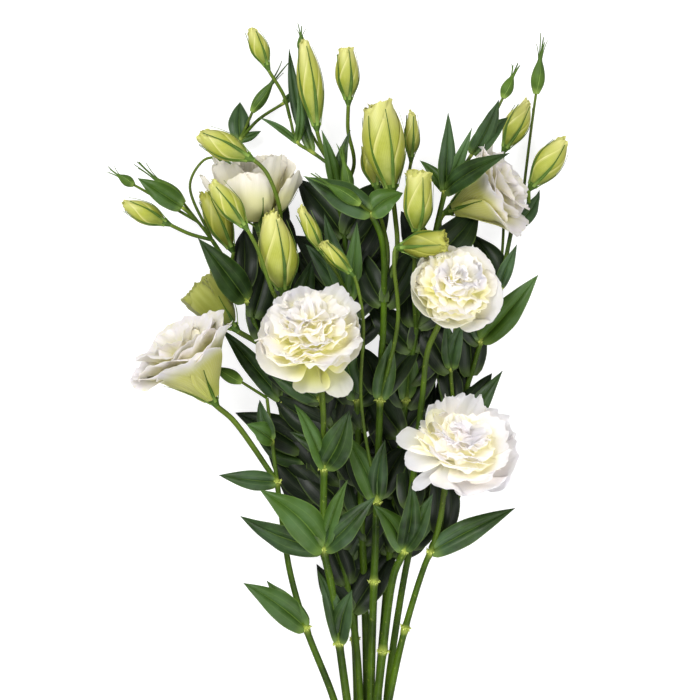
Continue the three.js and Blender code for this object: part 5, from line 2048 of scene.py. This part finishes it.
BUDS: dict[str, BudPlan] = {
    "tall": BudPlan('centre_top', ((384, 300, 49), (397, 250, 46), (395, 215, 46)), (391, 186, 46),
        (378, 105, 48), 25, 0.55, 0.62),
    "dark": BudPlan('centre_top', ((384, 300, 49), (388, 250, 36), (378, 205, 30)), (376, 184, 28),
        (367, 143, 26), 13, 0.45, 0.3, SHADED_BUD),
    "round": BudPlan('upper_left', ((291, 318, 34),), (283, 287, 54), (271, 214, 63), 23, 0.38, 0.36),
    "twisted": BudPlan('back_top', ((330, 165, 35), (321, 145, 34)), (316, 124, 34), (304, 42, 36), 15,
        0.5, 0.3),
    "upright": BudPlan('back_top', ((338, 200, 35), (354, 165, 30), (348, 130, 30)), (348, 98, 32),
        (346, 48, 34), 14, 0.45, 0.5),
    "bowed": BudPlan('upper_left', ((291, 318, 34), (288, 300, 35), (283, 262, 38), (281, 232, 44),
        (279, 205, 60), (266, 172, 73)), (247, 157, 75), (200, 135, 74), 16, 0.5, 0.4),
    "left": BudPlan('upper_left', ((291, 318, 34), (272, 290, 70), (258, 250, 72)), (243, 224, 72),
        (212, 183, 74), 14, 0.45, 0.35),
    "right": BudPlan('right_back', ((512, 228, 22), (528, 206, 14)), (533, 184, 14), (564, 140, 18), 17,
        0.5, 0.3),
    "behind_right": BudPlan('right_back', ((504, 190, 9),), (506, 146, 12), (527, 103, 14), 15, 0.5,
        0.25),
    "curled": BudPlan('right_top', ((416, 330, 33), (414, 290, 50), (415, 255, 58)), (417, 230, 60),
        (419, 171, 60), 17, 0.4, 0.75),
    "lying": BudPlan('centre_top', ((380, 400, 43), (398, 320, 62), (394, 262, 68)), (403, 247, 68),
        (446, 241, 74), 16, 0.45, 0.65, SHADED_BUD),
    "slim_left": BudPlan('back_top', ((350, 300, 31), (336, 272, 48)), (320, 248, 52), (301, 209, 54),
        9, 0.4, 0.4),
    "slim_middle": BudPlan('centre_top', ((377, 500, 37), (361, 400, 58), (363, 318, 62)),
        (349, 271, 62), (322, 243, 64), 9, 0.45, 0.5),
    "top_left": BudPlan('back_top', ((290, 118, 28), (284, 96, 28)), (266, 64, 28), (251, 29, 28), 11,
        0.45, 0.3),
    "far_left": BudPlan('left_back', ((212, 240, 28), (190, 234, 28)), (164, 222, 28), (123, 203, 30),
        13, 0.45, 0.25),
    "behind_left": BudPlan('left_back', ((230, 268, 26),), (230, 246, 20), (205, 194, 20), 15, 0.45,
        0.4, SHADED_BUD),
    "thin_top": BudPlan('right_top', ((428, 270, 38), (410, 215, 36), (408, 180, 34)), (411, 155, 34),
        (412, 112, 36), 9.5, 0.35, 0.25),
}

CLOSED_BUDS: tuple[BudPlan, ...] = (
    BudPlan('right_back', ((512, 228, 22), (522, 200, 10), (526, 170, 6), (531, 130, 8)), (536, 94, 12),
        (540, 60, 14), 8),
    BudPlan('right_top', ((490, 124, 42),), (503, 98, 42), (512, 77, 42), 7),
    BudPlan('back_top', ((330, 165, 35), (306, 120, 20), (302, 80, 20)), (302, 52, 20), (301, 36, 20),
        5),
    BudPlan('left_back', ((198, 222, 30), (150, 194, 26)), (134, 185, 26), (119, 176, 26), 6),
    BudPlan('upper_left', ((240, 140, 10),), (252, 112, 14), (271, 84, 16), 7),
    BudPlan('left_back', ((198, 222, 30),), (184, 203, 22), (157, 180, 20), 8),
    BudPlan('left_front', ((267, 398, 34),), (242, 382, 34), (217, 369, 34), 8),
    BudPlan('centre_top', ((371, 213, 56),), (360, 204, 64), (330, 186, 68), 8),
    BudPlan('left_back', ((212, 240, 28), (190, 184, 12), (204, 160, 12)), (213, 156, 12),
        (224, 160, 12), 7),
    BudPlan('back_top', ((338, 200, 35),), (350, 192, 46), (344, 164, 48), 7),
)

BLOOMS: dict[str, BloomPlan] = {
    "front": BloomPlan('front_middle', ((324, 468, 52), (323, 410, 56), (320, 378, 60)), (313, 352, 68),
        (-0.12, 0.5, 0.86), 31, BloomForm.FULL,
        (Guard(294, 1.1, 0.62, 0.6, 0.02, 0.35), Guard(348, 1.02, 0.22, 0.36, 0.95, 0.1),
         Guard(20, 1.24, 0.1, 0.28, 0.6, 0.3), Guard(62, 0.98, 0.42, 0.5, 0.35),
         Guard(115, 1.0, 0.5, 0.55, 0.15), Guard(175, 1.02, 0.55, 0.6, 0.1),
         Guard(235, 1.0, 0.55, 0.55, 0.1)),
        lean=(163, 17), dome=0.93),
    "right": BloomPlan('centre_right', ((422, 400, 46), (428, 350, 48), (440, 322, 52)), (448, 297, 60),
        (0.15, 0.35, 0.92), 26, BloomForm.FULL,
        (Guard(285, 1.0, 0.85, 0.55, 0.5, 0.5, 0.0), Guard(330, 1.05, 0.72, 0.6, 0.45, 0.45, 0.0),
         Guard(10, 1.0, 0.6, 0.5, 0.5, 0.4), Guard(65, 1.15, 0.5, 0.42, 0.02, 0.1),
         Guard(102, 1.16, 0.72, 0.62, 0.0, 0.15), Guard(160, 1.08, 0.75, 0.6, 0.05),
         Guard(225, 1.0, 0.85, 0.55, 0.3)),
        lean=(183, 15), dome=0.88),
    "lower_right": BloomPlan('right_front', ((431, 552, 43), (440, 520, 48)), (451, 458, 56),
        (0.34, 0.52, 0.78), 28, BloomForm.FULL,
        (Guard(300, 1.4, 0.42, 0.3, 0.25, 0.5, 0.3), Guard(320, 1.25, 0.25, 0.3, 0.0, 0.4, 0.2),
         Guard(345, 1.3, 0.0, 0.15, 0.05, 0.3, 0.1), Guard(262, 1.15, 0.8, 0.2, 0.95, 0.6, 0.3, -0.3),
         Guard(30, 1.1, 0.45, 0.66, 0.0, 0.15, frill=1.6), Guard(72, 1.16, 0.66, 0.8, 0.0, 0.12),
         Guard(112, 1.18, 0.84, 0.8, 0.0, 0.08, frill=1.4),
         Guard(152, 1.1, 0.95, 0.6, 0.02, 0.05, 0.1, 0.06, 2.4),
         Guard(195, 1.06, 0.92, 0.5, 0.06, 0.05, 0.1, 0.08, 2.6),
         Guard(232, 1.0, 0.85, 0.5, 0.06, 0.1, 0.1, 0.06, 2.4),
         Guard(58, 0.9, 0.8, 0.6, 0.0, 0.08, 0.1, 0.05, 1.8),
         Guard(98, 0.92, 0.98, 0.66, 0.0, 0.06, 0.1, 0.05, 1.8),
         Guard(138, 0.85, 1.1, 0.6, 0.0, 0.06, 0.1, 0.05, 2.2)),
        SNOW_PETAL, 0.8, (215, 20), 0.84),
    "left": BloomPlan('left_front', ((277, 482, 38), (233, 420, 40)), (213, 400, 42),
        (-0.5, 0.82, 0.28), 31, BloomForm.FUNNEL, finish=FUNNEL_PETAL),
    "upper_left": BloomPlan('upper_left', ((291, 318, 34), (272, 262, 38)), (258, 224, 40),
        (-0.1, 0.99, 0.1), 24, BloomForm.CUP, finish=CREAM_PETAL),
    "upper_right": BloomPlan('right_front',
        ((456, 320, 28), (454, 270, 24), (444, 240, 24), (439, 222, 26)), (451, 210, 28),
        (0.9, 0.38, 0.24), 28, BloomForm.FUNNEL, finish=FUNNEL_PETAL),
    "half_open": BloomPlan('left_back', ((262, 345, 14), (246, 336, 15)), (233, 326, 17),
        (-0.68, 0.73, 0.1), 13, BloomForm.GOBLET, finish=OLIVE_PETAL),
}


def main() -> None:
    """Builds the bunch in the frame, piece by piece, and the studio round it."""
    logging.basicConfig(level=logging.INFO, format="%(name)s %(message)s")
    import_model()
    for number, (name, plan) in enumerate(STEMS.items()):
        flowers = [f for f in (*BLOOMS.values(), *BUDS.values()) if f.stem == name]
        closed = [bud for bud in CLOSED_BUDS if bud.stem == name]
        LeafyStem(name, plan, flowers, closed, seed=STEM_SEED + number).build()
    for number, (name, plan) in enumerate(BLOOMS.items()):
        Bloom(name, plan, seed=BLOOM_SEED + number).build()
    for number, (name, plan) in enumerate(BUDS.items()):
        Bud(name, plan, seed=BUD_SEED + number).build()
    Tie().build()
    Studio().build()


if __name__ == "__main__":
    main()
